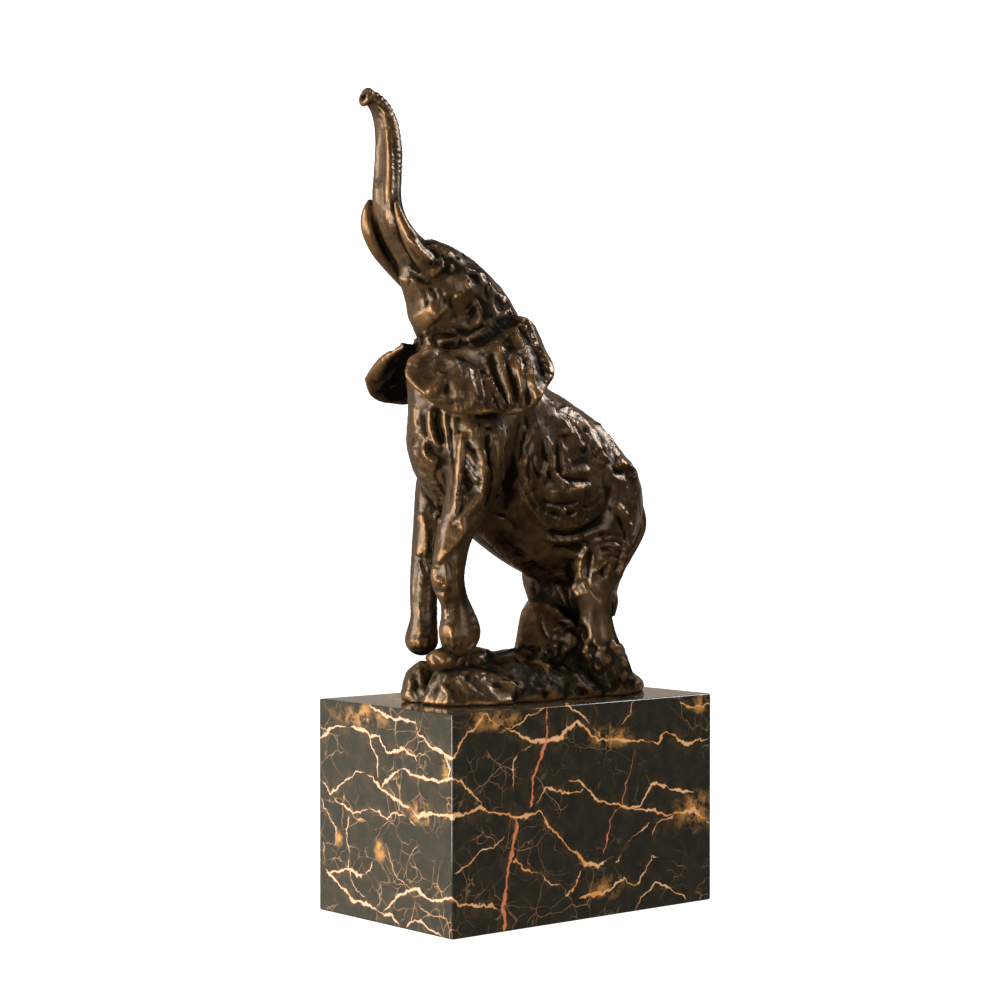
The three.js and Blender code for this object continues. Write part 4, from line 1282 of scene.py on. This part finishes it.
def bronze_material(look):
    """Waxed brown patina over cast bronze."""
    material, n, shader = fresh_material("Brown patinated bronze")
    at = n.place()
    mottle = n.noise(at, 260, 5, 0.65)
    # painted occlusion shade: the less open a place is to the room, the darker it is painted
    occlusion_shade = n.math("MULTIPLY", n.math("SUBTRACT", 1.0, n.attribute("open")), 0.95)
    # deep: dark patina in the hollows together with painted shade and painted occlusion shade
    deep = n.fit(n.math("ADD", n.attribute("hollow_and_shade"), occlusion_shade), 0.16, 0.95)
    # darker low ground round the feet, in patches
    ground_patchiness = n.fit(n.noise(at, 190, 4, 0.65), 0.36, 0.6, 1.0, 0.8)
    deep = n.math("MAXIMUM", deep, n.math("MULTIPLY", n.attribute("darker_low_ground"), ground_patchiness))
    uneven = n.math("MULTIPLY", n.math("SUBTRACT", mottle, 0.5), 0.6)
    worn = n.fit(n.math("ADD", n.attribute("rubbed"), uneven), 0.72, 1.5)
    n.feed(shader.inputs["Base Color"], patina_colour(n, at, mottle, deep, worn, look))
    n.feed(shader.inputs["Metallic"], n.math("ADD", n.math("MULTIPLY", worn, 0.35), 0.6))
    marks = place_group(n, smudge_group(), Place=at, Base=look.bronze_roughness, Change=0.12)
    rough = n.math("ADD", marks.outputs["Roughness"], n.math("MULTIPLY", deep, 0.35), clamp=True)
    n.feed(shader.inputs["Roughness"], rough)
    dull = n.math("SUBTRACT", 1.0, n.math("MULTIPLY", deep, 0.92))
    n.feed(shader.inputs["Specular IOR Level"], n.math("MULTIPLY", dull, 0.25))
    n.feed(shader.inputs["Coat Weight"], n.math("MULTIPLY", dull, 0.26))
    shader.inputs["Coat Roughness"].default_value = 0.2
    bump = n.add("Bump", None, Strength=0.35, Distance=0.0006, Height=patina_relief(n, at, mottle))
    n.feed(shader.inputs["Normal"], bump.outputs[0])
    return material


# ---------------------------------------------------------------- marble

# Veins on the two polished faces that meet at the front left corner of the block. A vein that
# lies along a face is read from left to right: how far round the corner it is (below 0 on the
# front, above 0 on the left side) and how high. A standing vein is read from the bottom up:
# how high, and how far round. Both in millimetres, after the vein's width and tint.
LYING_VEINS = [
    (1.0, "gold", [(-90, 57), (-82, 50), (-73, 56), (-62, 62), (-47, 57), (-39, 53), (-21, 48),
                   (-12, 50), (0, 49), (15, 51), (33, 45), (46, 47), (53, 38), (71, 24), (79, 21),
                   (88, 24)]),
    (1.0, "gold", [(-62, 91), (-39, 86), (-24, 85), (-21, 80), (-12, 75), (0, 73), (9, 83), (17, 88),
                   (25, 85), (32, 81), (44, 76), (56, 76), (60, 80), (66, 82), (78, 75), (108, 72),
                   (113, 70), (119, 74), (132, 68), (145, 71)]),
    (0.9, "gold", [(-90, 73), (-80, 78), (-68, 80), (-58, 79), (-54, 76), (-48, 77), (-42, 71),
                   (-31, 74), (-21, 70)]),
    (0.7, "gold", [(-47, 57), (-33, 65), (-15, 62), (0, 64), (5, 62), (12, 56), (17, 50)]),
    (0.5, "gold", [(-81, 50), (-66, 44), (-55, 47), (-42, 44), (-38, 47), (-30, 46), (-22, 43)]),
    (0.9, "gold", [(-86, 19), (-71, 10), (-65, 7), (-57, 7), (-47, 5), (-39, 4), (-33, 0)]),
    (0.9, "gold", [(-46, 5), (-36, 12), (-25, 18), (-12, 14), (0, 16), (4, 13), (17, 12), (25, 10)]),
    (0.6, "gold", [(-85, 17), (-69, 19), (-61, 18), (-55, 20), (-51, 25)]),
    (0.5, "gold", [(-30, 0), (-25, 5), (-14, 3), (-9, 2), (-6, -1)]),
    (0.7, "gold", [(61, 59), (69, 57), (78, 49), (92, 45), (103, 45), (109, 53), (112, 55), (120, 51),
                   (135, 48)]),
    (0.6, "gold", [(92, 45), (109, 42), (116, 40), (126, 39)]),
    (1.2, "gold", [(108, 31), (112, 37), (120, 38), (134, 40), (145, 33)]),
    (0.6, "gold", [(67, 10), (81, 10), (93, 14), (100, 11), (105, 16), (110, 22), (114, 23)]),
    (0.5, "gold", [(98, 0), (105, 7), (112, 11), (120, 8), (131, 2)]),
    (0.5, "gold", [(31, 29), (37, 25), (46, 22), (53, 17), (58, 15)]),
    (0.7, "gold", [(60, 91), (67, 86), (73, 82), (80, 76)]),
    (0.4, "gold", [(43, 50), (50, 58), (56, 56), (62, 53), (71, 54)]),
    (0.4, "gold", [(0, 26), (15, 33), (27, 38)]),
    (0.6, "gold", [(126, 87), (131, 84), (136, 86), (145, 85)]),
    (0.5, "gold", [(24, 82), (36, 84), (45, 88), (50, 91)]),
]
STANDING_VEINS = [
    (0.9, "pink", [(-1, 26), (12, 28), (27, 29.5), (45, 34.5)]),
    (0.9, "pink", [(48, 41), (62, 43.5), (67, 45.5), (77, 50), (91, 50.5)]),
    (0.45, "gold", [(5, -50), (13, -65), (20, -69), (27, -68), (33, -70), (43, -68)]),
    (0.45, "gold", [(19, -86), (28, -87), (29, -79), (36, -78), (41, -83), (48, -89)]),
    (0.35, "pink", [(24, 82), (33, 84), (40, 86), (46, 92), (59, 97), (70, 99.5)]),
    (0.4, "gold", [(21, 88), (31, 97), (34, 103), (37, 108)]),
    (0.5, "gold", [(10, 61), (15, 66), (21, 69)]),
    (0.45, "gold", [(17, -27), (21, -37), (27, -40), (34, -44)]),
    (0.4, "gold", [(59, -49), (69, -50), (76, -55)]),
    (0.8, "gold", [(63, -3), (69, -2), (74, -5)]),
    (0.4, "gold", [(50, 33), (62, 31), (72, 35), (76, 42)]),
    (0.4, "gold", [(80, 92), (84, 97), (91, 99)]),
]
# Gold patches: how far round, how high, half width and half height.
GOLD_PATCHES = [(86, 75, 11, 4), (135, 40, 11, 8), (23, 86, 14, 4), (-21, 50, 7, 5), (-76, 32, 3, 3),
                (-48, 31, 3, 5), (-60, 85, 18, 4), (-5, 68, 3, 5), (139, 86, 9, 3), (83, 12, 8, 4)]
SPAN_ROUND = (-100.0, 160.0)
SPAN_UP = (-10.0, 100.0)
BLACK_STONE = (0.021, 0.0198, 0.0142, 1)
GREY_STONE = (0.036, 0.029, 0.0185, 1)
BROWN_HAZE = (0.13, 0.075, 0.03, 1)
GOLD = (0.74, 0.3, 0.08, 1)
PALE_GOLD = (0.82, 0.46, 0.23, 1)
# painted sheen: the paler, pinker vein colour of the front face
FRONT_SHEEN_GOLD = (0.6, 0.35, 0.23, 1)
HAIR_GOLD = (0.58, 0.31, 0.14, 1)
PATCH_GOLD = (0.62, 0.29, 0.08, 1)
PINK = (0.66, 0.2, 0.085, 1)


def vein_group():
    """How much of a vein shows at a distance from its middle line, with its haze."""
    sockets = [("Gap", "Float"), ("Width", "Float", 0.8), ("Break", "Float", 0.5), ("Along", "Float", 0.5)]
    group, start, end = new_group("Vein", sockets, [("Vein", "Float"), ("Haze", "Float")])
    n = Nodes(group)
    ends = n.fit(n.math("ABSOLUTE", n.math("SUBTRACT", start.outputs["Along"], 0.5)), 0.5, 0.44)
    wide = n.math("MULTIPLY", start.outputs["Width"], n.fit(start.outputs["Break"], 0.36, 0.68, 0.1, 1.3))
    wide = n.math("MULTIPLY", wide, ends)
    gap = n.math("ABSOLUTE", start.outputs["Gap"])
    share = n.math("DIVIDE", gap, n.math("MAXIMUM", wide, 0.02))
    n.feed(end.inputs["Vein"], n.math("MULTIPLY", n.fit(share, 1.15, 0.5), n.fit(wide, 0.03, 0.2)))
    beside = n.fit(n.math("DIVIDE", gap, start.outputs["Width"]), 6.0, 0.5)
    n.feed(end.inputs["Haze"], n.math("MULTIPLY", beside, ends))
    return group


def route(n, value, places, span):
    """A broken line through the places, as a curve: reads value, gives the other measure."""
    first, last = places[0][0], places[-1][0]
    node = n.tree.nodes.new("ShaderNodeFloatCurve")
    along = n.fit(value, first, last)
    n.feed(node.inputs["Value"], along)
    dots = node.mapping.curves[0].points
    wanted = [((a - first) / (last - first), (b - span[0]) / (span[1] - span[0])) for a, b in places]
    dots[0].location, dots[1].location = wanted[0], wanted[-1]
    for dot in wanted[1:-1]:
        dots.new(*dot)
    for dot in dots:
        dot.handle_type = "VECTOR"
    node.mapping.update()
    return along, n.math("ADD", n.math("MULTIPLY", node.outputs[0], span[1] - span[0]), span[0])


def face_measures(n, at):
    """In millimetres: how far round the corner a place is, and that and its height made to
    wander, as veins do."""
    mm = n.add("VectorMath", {"operation": "SCALE"})
    n.feed(mm.inputs[0], at)
    mm.inputs["Scale"].default_value = 1000.0
    x, y, z = n.add("SeparateXYZ", None, Vector=mm.outputs[0]).outputs
    half_width, half_length = float(PLINTH_HIGH[0]), float(PLINTH_HIGH[1])
    # the two far faces repeat the count round the corner, so depth behind the near ones bends it
    behind = n.math("MINIMUM", n.math("SUBTRACT", half_width, x), n.math("ADD", y, half_length))
    round_corner = n.math("ADD", n.math("ADD", x, y), half_length - half_width)
    jag = n.add("TexNoise", None, Vector=at, Scale=95.0, Detail=3.0, Roughness=0.62)
    tremble = n.add("TexNoise", None, Vector=at, Scale=280.0, Detail=2.0, Roughness=0.5)
    far = n.add("TexNoise", None, Vector=at, Scale=14.0, Detail=1.0)
    noises = [n.add("SeparateColor", None, Color=node.outputs["Color"]).outputs for node in (jag,
                                                                                             tremble,
                                                                                             far)]

    def shift(channel):
        wide, small, far_off = (n.math("MULTIPLY", n.math("SUBTRACT", noise[channel], 0.5), reach)
                                for noise, reach in zip(noises, (7.0, 2.4, 1.5)))
        return n.math("ADD", n.math("ADD", wide, small), n.math("MULTIPLY", far_off, behind))

    return round_corner, n.math("ADD", round_corner, shift(0)), n.math("ADD", z, shift(1))


def draw_veins(n, across, up, breaks):
    """Where the gold veins, the pink veins and the haze beside them show."""
    group = vein_group()
    shown = {"gold": 0.0, "pink": 0.0}
    haze = 0.0
    for veins, along_value, other, reach in ((LYING_VEINS, across, up, SPAN_UP),
                                             (STANDING_VEINS, up, across, SPAN_ROUND)):
        for index, (width, tint, places) in enumerate(veins):
            along, middle = route(n, along_value, places, reach)
            gap = n.math("SUBTRACT", other, middle)
            vein = place_group(n, group, Gap=gap, Width=width, Along=along, Break=breaks[index % 2])
            shown[tint] = n.math("MAXIMUM", vein.outputs["Vein"], shown[tint])
            haze = n.math("MAXIMUM", vein.outputs["Haze"], haze)
    return shown["gold"], shown["pink"], haze


def draw_patches(n, across, up):
    """How near the middle of a gold patch each place is."""
    patches = 0.0
    for middle_round, middle_up, wide, tall in GOLD_PATCHES:
        sideways = n.math("DIVIDE", n.math("SUBTRACT", across, middle_round), wide)
        upward = n.math("DIVIDE", n.math("SUBTRACT", up, middle_up), tall)
        squares = [n.math("MULTIPLY", side, side) for side in (sideways, upward)]
        patches = n.math("MAXIMUM", n.fit(n.math("SQRT", n.math("ADD", *squares)), 1.3, 0.2), patches)
    return patches


def draw_net(n, at, breaks):
    """A net of hair veins between the others, only here and there."""
    swirl = place_group(n, swirl_group(), Place=at, Size=60.0, Reach=0.016)
    nets = []
    for scale, width in ((46.0, 0.012), (95.0, 0.016)):
        cells = n.add("TexVoronoi", {"feature": "DISTANCE_TO_EDGE"}, Vector=swirl.outputs[0], Scale=scale)
        nets.append(n.fit(cells.outputs["Distance"], width, 0.0))
    here = n.fit(n.noise(at, 34, 3, 0.6), 0.42, 0.56)
    net = n.math("MULTIPLY", n.math("MAXIMUM", nets[0], n.math("MULTIPLY", nets[1], 0.7)), here)
    return n.math("MULTIPLY", net, n.fit(breaks[0], 0.35, 0.62))


def marble_material():
    """Polished near-black marble with gold and pink veins."""
    material, n, shader = fresh_material("Black marble with gold veins")
    at = n.place()
    round_corner, across, up = face_measures(n, at)
    breaks = [n.noise(at, 70, 3, 0.6), n.noise(n.vector("ADD", at, (0.3, 0.1, 0.2)), 70, 3, 0.6)]
    gold, pink, haze = draw_veins(n, across, up, breaks)
    cloud = n.noise(at, 160, 5, 0.68)
    patch = n.math("MULTIPLY", draw_patches(n, across, up), n.fit(cloud, 0.42, 0.6))
    front = n.fit(round_corner, -0.5, 0.5, 1.0, 0.0)
    base = n.mix(n.fit(cloud, 0.4, 0.7), BLACK_STONE, GREY_STONE)
    brown = n.math("MULTIPLY", n.math("MULTIPLY", haze, n.fit(cloud, 0.42, 0.72)), 0.5)
    base = n.mix(brown, base, BROWN_HAZE)
    gold_tone = n.mix(n.fit(breaks[1], 0.4, 0.62), GOLD, PALE_GOLD)
    # painted sheen: veins on the front face paler and pinker, as the sheen there makes them look
    gold_tone = n.mix(n.math("MULTIPLY", front, 0.8), gold_tone, FRONT_SHEEN_GOLD)
    net = n.math("MULTIPLY", draw_net(n, at, breaks), n.fit(front, 0, 1, 0.6, 1.0))
    colour = n.mix(net, base, HAIR_GOLD)
    colour = n.mix(n.math("MULTIPLY", patch, 0.85), colour, PATCH_GOLD)
    colour = n.mix(gold, colour, gold_tone)
    n.feed(shader.inputs["Base Color"], n.mix(pink, colour, PINK))
    shader.inputs["Roughness"].default_value = 0.07
    shader.inputs["IOR"].default_value = 1.5
    return material


# ---------------------------------------------------------------- pieces

def new_piece(name, points, faces):
    """A mesh object from points in millimetres."""
    mesh = bpy.data.meshes.new(name)
    mesh.vertices.add(len(points))
    mesh.vertices.foreach_set("co", (np.asarray(points, np.float32) / 1000).ravel())
    mesh.loops.add(faces.size)
    mesh.loops.foreach_set("vertex_index", faces.astype(np.int32).ravel())
    mesh.polygons.add(len(faces))
    mesh.polygons.foreach_set("loop_start", np.arange(0, faces.size, faces.shape[1], dtype=np.int32))
    mesh.update(calc_edges=True)
    mesh.validate()
    mesh.shade_smooth()
    piece = bpy.data.objects.new(name, mesh)
    bpy.context.scene.collection.objects.link(piece)
    return piece


def read_all(items, name, width, kind):
    """One property of all a mesh's vertices or edges, as rows."""
    rows = np.empty(len(items) * width, kind)
    items.foreach_get(name, rows)
    return rows.reshape(-1, width)


def put_attribute(mesh, name, values):
    """Keeps a share from 0 to 1 at each point for the finish to read."""
    made = mesh.attributes.new(name, "FLOAT", "POINT")
    made.data.foreach_set("value", np.clip(values, 0, 1).astype(np.float32))


def thin_out(piece, triangles):
    """Joins small faces where the surface is calm until this many triangles are left."""
    now = sum(len(face.vertices) - 2 for face in piece.data.polygons)
    if now <= triangles:
        return
    modifier = piece.modifiers.new("thin", "DECIMATE")
    modifier.ratio = triangles / now
    ready = piece.evaluated_get(bpy.context.evaluated_depsgraph_get())
    mesh = bpy.data.meshes.new_from_object(ready)
    piece.modifiers.remove(modifier)
    old = piece.data
    piece.data = mesh
    bpy.data.meshes.remove(old)
    mesh.shade_smooth()


def painted_shade_zones(points, normals, edges):
    """Painted shade: darker colour in the right ear, behind the trunk, on the crown, low at the back and on
    the ground under the body.
    """
    x, y, z = points.T
    cup = (x < -22) & (y < 0) & (z > 205) & (z < 243) & (normals[:, 1] < 0.1)
    trunk_back = (z > 268) & (normals[:, 0] * 0.75 + normals[:, 1] * 0.66 > 0.5)
    behind = np.clip((y - 12) / 10, 0, 1) * np.clip((136 - z) / 10, 0, 1) * (z > 100)
    crown = (z > 250) & (z < 286) & (y > -38)
    middle = (z < 113) & (y > -32) & (y < 46)
    return melt(cup * 0.9 + trunk_back * 0.7 + behind * 0.35 + crown * 0.5 + middle * 0.35, edges, 6)


def mark_surface(mesh, clay):
    """Writes what the finish needs: hollows with painted shade, rubbed edges, open places, the ground and
    its darker low part.
    """
    points = read_all(mesh.vertices, "co", 3, np.float32).astype(float) * 1000
    normals = read_all(mesh.vertices, "normal", 3, np.float32).astype(float)
    edges = read_all(mesh.edges, "vertices", 2, np.int32)
    bend = ((spread(points, edges) - points) * normals).sum(1)
    fine = melt(bend, edges, 2)
    broad = melt(bend, edges, 12)
    # darker in concave places, as dark patina in the hollows and as painted shade in creases
    hollow_and_shade = np.clip(fine * 14, 0, 1) * 0.5 + np.clip(broad * 34, 0, 1) * 0.8
    hollow_and_shade *= 1 - 0.65 * np.clip((points[:, 2] - 286) / 8, 0, 1)
    edge = np.clip(-fine * 10, 0, 1) * 0.35 + np.clip(-broad * 22, 0, 1) * 0.95
    # painted shade: darker colour on the right ear's inside, the trunk's back, the crown, low at the back
    # and the ground under the body
    painted_shade = painted_shade_zones(points, normals, edges) * (1 - np.clip(edge * 2, 0, 1))
    hollow_and_shade += painted_shade
    # how open each place is, read from the clay along its normal, which the finish paints as occlusion
    # shade
    openness = np.ones(len(points))
    for reach in (2.5, 5, 9):
        openness = np.minimum(openness, clay.read(points + normals * reach) / reach + 0.12)
    openness = melt(np.clip(openness, 0, 1), edges, 4) * (1 - 0.75 * painted_shade)
    put_attribute(mesh, "hollow_and_shade", hollow_and_shade)
    put_attribute(mesh, "open", openness)
    put_attribute(mesh, "rubbed", edge * openness)
    low = np.clip((GROUND + 24 - points[:, 2]) / 10, 0, 1)
    put_attribute(mesh, "ground", melt(low, edges, 3))
    # darker towards the bottom of the ground, along the length of the mound
    darker_low_ground = np.clip((GROUND + 21 - points[:, 2]) / 7, 0, 1)
    darker_low_ground *= np.clip((42 - np.abs(points[:, 1] - 12)) / 14, 0, 1)
    put_attribute(mesh, "darker_low_ground", melt(darker_low_ground, edges, 3))


# ---------------------------------------------------------------- settings

def colour_setting(name, description, default):
    """A colour in the panel."""
    return FloatVectorProperty(name=name, description=description, subtype="COLOR", size=3,
                               default=default, min=0, max=1)


class ELEPHANT_PG_bronze(bpy.types.PropertyGroup):
    """Sizes and colours of the bronze."""
    cell: FloatProperty(name="Detail", description="Size of the smallest modelled detail",
                        default=0.00078, min=0.0005, max=0.004, subtype="DISTANCE", unit="LENGTH")
    bronze_dark: colour_setting("Dark brown", "Patina in the calm places", (0.034, 0.018, 0.0065))
    bronze_mid: colour_setting("Middle brown", "Patina in the lighter patches", (0.1, 0.0525, 0.019))
    bronze_gold: colour_setting("Rubbed gold", "Metal where the edges are worn", (0.27, 0.132, 0.043))
    bronze_roughness: FloatProperty(name="Roughness", description="Roughness of the waxed patina",
                                    default=0.33, min=0.05, max=1)


class ELEPHANT_PG_plinth(bpy.types.PropertyGroup):
    """Sizes of the marble block."""
    edge: FloatProperty(name="Edge", description="Radius of the ground edges", default=0.0009, min=0,
                        max=0.005, subtype="DISTANCE", unit="LENGTH")


class ELEPHANT_PG_stage(bpy.types.PropertyGroup):
    """Camera and light."""
    turn: FloatProperty(name="Turn", description="How far the camera stands from the elephant's front "
                        "towards its left side", default=math.radians(49.85), subtype="ANGLE",
                        unit="ROTATION")
    rise: FloatProperty(name="Rise", description="How far the camera looks down",
                        default=math.radians(0.95),
                        subtype="ANGLE", unit="ROTATION")
    distance: FloatProperty(name="Distance", description="From the camera to the middle of the elephant",
                            default=1.0797, min=0.3, max=5, subtype="DISTANCE", unit="LENGTH")
    lens: FloatProperty(name="Lens", description="Focal length of the camera", default=90, min=20, max=200)


# ---------------------------------------------------------------- operators

FLOOR_NEAR = 3.0
FLOOR_FAR = 1.0
FLOOR_BEND = 0.9
FLOOR_STEPS = 12
FLOOR_HEIGHT = 4.0
FLOOR_HALF_WIDTH = 4.0
AIM_HEIGHT = 0.17318
AIM_ASIDE = -0.00637
LIT_HEIGHT = 0.19
# Light panels: name, turn and rise in degrees, distance, size and power.
PANELS = [
    ("key", -26, 12, 1.1, (0.7, 0.8), 15),
    ("front", 15, -5, 1.1, (0.45, 0.45), 11),
    ("rim", 164, 32, 1.1, (0.25, 0.45), 7.5),
    ("side", 92, 6, 1.2, (0.5, 0.5), 2.6),
    ("top", 70, 78, 1.2, (0.35, 0.5), 3),
]


class ELEPHANT_OT_bronze(bpy.types.Operator):
    """Model the elephant on its rock as one cast piece"""
    bl_idname = "elephant.bronze"
    bl_label = "Bronze elephant"

    def execute(self, context):
        look = context.scene.elephant_bronze
        cell = look.cell * 1000 * 1
        clay = model_elephant(cell)
        points, faces = clay.skin()
        points = relax(points, edges_of(faces), 2)
        points = work_surface(points, faces)
        piece = new_piece("elephant_on_rock", points, faces)
        thin_out(piece, MOST_TRIANGLES)
        mark_surface(piece.data, clay)
        piece.data.materials.append(bronze_material(look))
        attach(piece, "root")
        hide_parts("bronze_elephant")
        return {"FINISHED"}


def ground_block(low, high, edge, steps=4):
    """A block whose twelve edges are ground to a small radius."""
    mesh = bmesh.new()
    bmesh.ops.create_cube(mesh, size=1)
    for vertex in mesh.verts:
        vertex.co = Vector(tuple(low[k] + (vertex.co[k] + 0.5) * (high[k] - low[k]) for k in range(3)))
    bmesh.ops.bevel(mesh, geom=list(mesh.edges), offset=edge, segments=steps, profile=0.5, affect="EDGES")
    return mesh


class ELEPHANT_OT_plinth(bpy.types.Operator):
    """Cut the marble block and polish it"""
    bl_idname = "elephant.plinth"
    bl_label = "Marble block"

    def execute(self, context):
        look = context.scene.elephant_plinth
        form = ground_block(PLINTH_LOW / 1000, PLINTH_HIGH / 1000, look.edge)
        mesh = bpy.data.meshes.new("marble_block")
        form.to_mesh(mesh)
        form.free()
        mesh.shade_smooth()
        piece = bpy.data.objects.new("marble_block", mesh)
        context.scene.collection.objects.link(piece)
        weigh = piece.modifiers.new("flat faces", "WEIGHTED_NORMAL")
        weigh.keep_sharp = True
        mesh.materials.append(marble_material())
        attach(piece, "root")
        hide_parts("marble_plinth")
        return {"FINISHED"}


class ELEPHANT_OT_stage(bpy.types.Operator):
    """Set up the pale floor, the soft lights and the camera"""
    bl_idname = "elephant.stage"
    bl_label = "Floor, light and camera"

    def execute(self, context):
        look = context.scene.elephant_stage
        place_floor(look)
        place_camera(context, look)
        place_lights(context, look)
        return {"FINISHED"}


def place_floor(look):
    """A pale floor that curves up into the backdrop."""
    profile = [(-FLOOR_NEAR, 0.0), (FLOOR_FAR, 0.0)]
    for k in range(1, FLOOR_STEPS + 1):
        angle = math.radians(90 * k / FLOOR_STEPS)
        profile.append((FLOOR_FAR + FLOOR_BEND * math.sin(angle), FLOOR_BEND * (1 - math.cos(angle))))
    profile.append((FLOOR_FAR + FLOOR_BEND, FLOOR_HEIGHT))
    turn = Matrix.Rotation(look.turn, 3, "Z")
    corners = []
    for along, up in profile:
        for side in (-FLOOR_HALF_WIDTH, FLOOR_HALF_WIDTH):
            corners.append(tuple(turn @ Vector((side, along, up))))
    faces = [(2 * k, 2 * k + 1, 2 * k + 3, 2 * k + 2) for k in range(len(profile) - 1)]
    mesh = bpy.data.meshes.new("floor_sweep")
    mesh.from_pydata(corners, [], faces)
    mesh.shade_smooth()
    floor = bpy.data.objects.new("floor_sweep", mesh)
    bpy.context.scene.collection.objects.link(floor)
    material, _, shader = fresh_material("Pale floor")
    shader.inputs["Base Color"].default_value = (0.86, 0.86, 0.86, 1)
    shader.inputs["Roughness"].default_value = 0.9
    shader.inputs["Specular IOR Level"].default_value = 0.1
    shader.inputs["Emission Color"].default_value = (1, 1, 1, 1)
    shader.inputs["Emission Strength"].default_value = 0.5
    mesh.materials.append(material)
    floor.visible_glossy = False
    floor.visible_diffuse = False


def camera_axes(turn, rise):
    """To the right, up and back, for someone who looks at the middle from this turn and rise."""
    back = Vector((math.sin(turn) * math.cos(rise), -math.cos(turn) * math.cos(rise), math.sin(rise)))
    right = Vector((math.cos(turn), math.sin(turn), 0))
    return right, back.cross(right), back


def standing_off(middle, distance, axes):
    """The placing of a thing that looks at the middle from this distance."""
    facing = Matrix(axes).transposed().to_4x4()
    return Matrix.Translation(middle + axes[2] * distance) @ facing


def place_camera(context, look):
    """A long lens, aimed at the middle of the work."""
    axes = camera_axes(look.turn, look.rise)
    camera = bpy.data.cameras.new("camera")
    camera.lens = look.lens
    camera.sensor_width = 36
    camera.clip_start = 0.05
    camera.clip_end = 50
    view = bpy.data.objects.new("camera", camera)
    middle = Vector((0, 0, AIM_HEIGHT)) + axes[0] * AIM_ASIDE
    view.matrix_world = standing_off(middle, look.distance, axes)
    context.scene.collection.objects.link(view)
    context.scene.camera = view


def add_light(name, turn, rise, distance, size, power):
    """A soft panel seen from the middle at this turn and rise, in degrees."""
    light = bpy.data.lights.new(name, "AREA")
    light.shape = "RECTANGLE"
    light.size, light.size_y = size
    light.energy = power
    lamp = bpy.data.objects.new(name, light)
    axes = camera_axes(math.radians(turn), math.radians(rise))
    lamp.matrix_world = standing_off(Vector((0, 0, LIT_HEIGHT)), distance, axes)
    bpy.context.scene.collection.objects.link(lamp)


def place_lights(context, look):
    """The room's own light and the panels."""
    light_room(context, look)
    for panel in PANELS:
        add_light(*panel)
    context.scene.view_settings.view_transform = "Standard"


def light_room(context, look):
    """The room is white to the eye. On the work its light comes from the left and the front,
    and in the polish it is dark but for a side window, the backdrop and the floor."""
    world = bpy.data.worlds.new("studio")
    context.scene.world = world
    world.use_nodes = True
    n = Nodes(world.node_tree)
    air = world.node_tree.nodes["Background"]
    path = n.add("LightPath")
    way = n.add("TexCoord").outputs["Generated"]
    right, above, front = camera_axes(look.turn, 0)

    def facing(direction):
        node = n.add("VectorMath", {"operation": "DOT_PRODUCT"})
        n.feed(node.inputs[0], way)
        node.inputs[1].default_value = direction.normalized()
        return node.outputs["Value"]

    soft = n.fit(facing(-right * 0.7 + front * 0.6 + above * 0.15), -0.5, 1, 0.0, 1.25)
    window = n.fit(facing(-right + front * 0.15), 0.1, 0.95, 0.0, 0.85)
    backdrop = n.fit(facing(-front), 0.8, 0.97, 0.0, 0.42)
    below = n.fit(facing(-above), 0.0, 0.5, 0.0, 0.12)
    polish = n.math("ADD", n.math("MAXIMUM", window, n.math("MAXIMUM", backdrop, below)), 0.02)
    polish = n.mix(1.0, polish, (1, 0.86, 0.68, 1), "MULTIPLY")
    light = n.mix(path.outputs["Is Glossy Ray"], soft, polish)
    n.feed(air.inputs["Color"], n.mix(path.outputs["Is Camera Ray"], light, (1, 1, 1, 1)))
    air.inputs["Strength"].default_value = 1.0


class ELEPHANT_PT_panel(bpy.types.Panel):
    """The elephant's settings and the steps that build it"""
    bl_label = "Elephant"
    bl_idname = "ELEPHANT_PT_panel"
    bl_space_type = "VIEW_3D"
    bl_region_type = "UI"
    bl_category = "Elephant"

    def draw(self, context):
        for group in SETTINGS:
            box = self.layout.box()
            settings = getattr(context.scene, group)
            for name in settings.bl_rna.properties.keys():
                if name not in ("rna_type", "name"):
                    box.prop(settings, name)
            box.operator(group.replace("_", "."))


SETTINGS = {"elephant_bronze": ELEPHANT_PG_bronze, "elephant_plinth": ELEPHANT_PG_plinth,
            "elephant_stage": ELEPHANT_PG_stage}
CLASSES = (*SETTINGS.values(), ELEPHANT_OT_bronze, ELEPHANT_OT_plinth, ELEPHANT_OT_stage,
           ELEPHANT_PT_panel)


def register():
    for kind in CLASSES:
        bpy.utils.register_class(kind)
    for name, kind in SETTINGS.items():
        setattr(bpy.types.Scene, name, PointerProperty(type=kind))


def unregister():
    for name in SETTINGS:
        delattr(bpy.types.Scene, name)
    for kind in reversed(CLASSES):
        bpy.utils.unregister_class(kind)


def main():
    """Builds the stage and the pieces in order."""
    register()
    bpy.ops.elephant.stage()
    bpy.ops.elephant.bronze()
    bpy.ops.elephant.plinth()


if __name__ == "__main__":
    main()
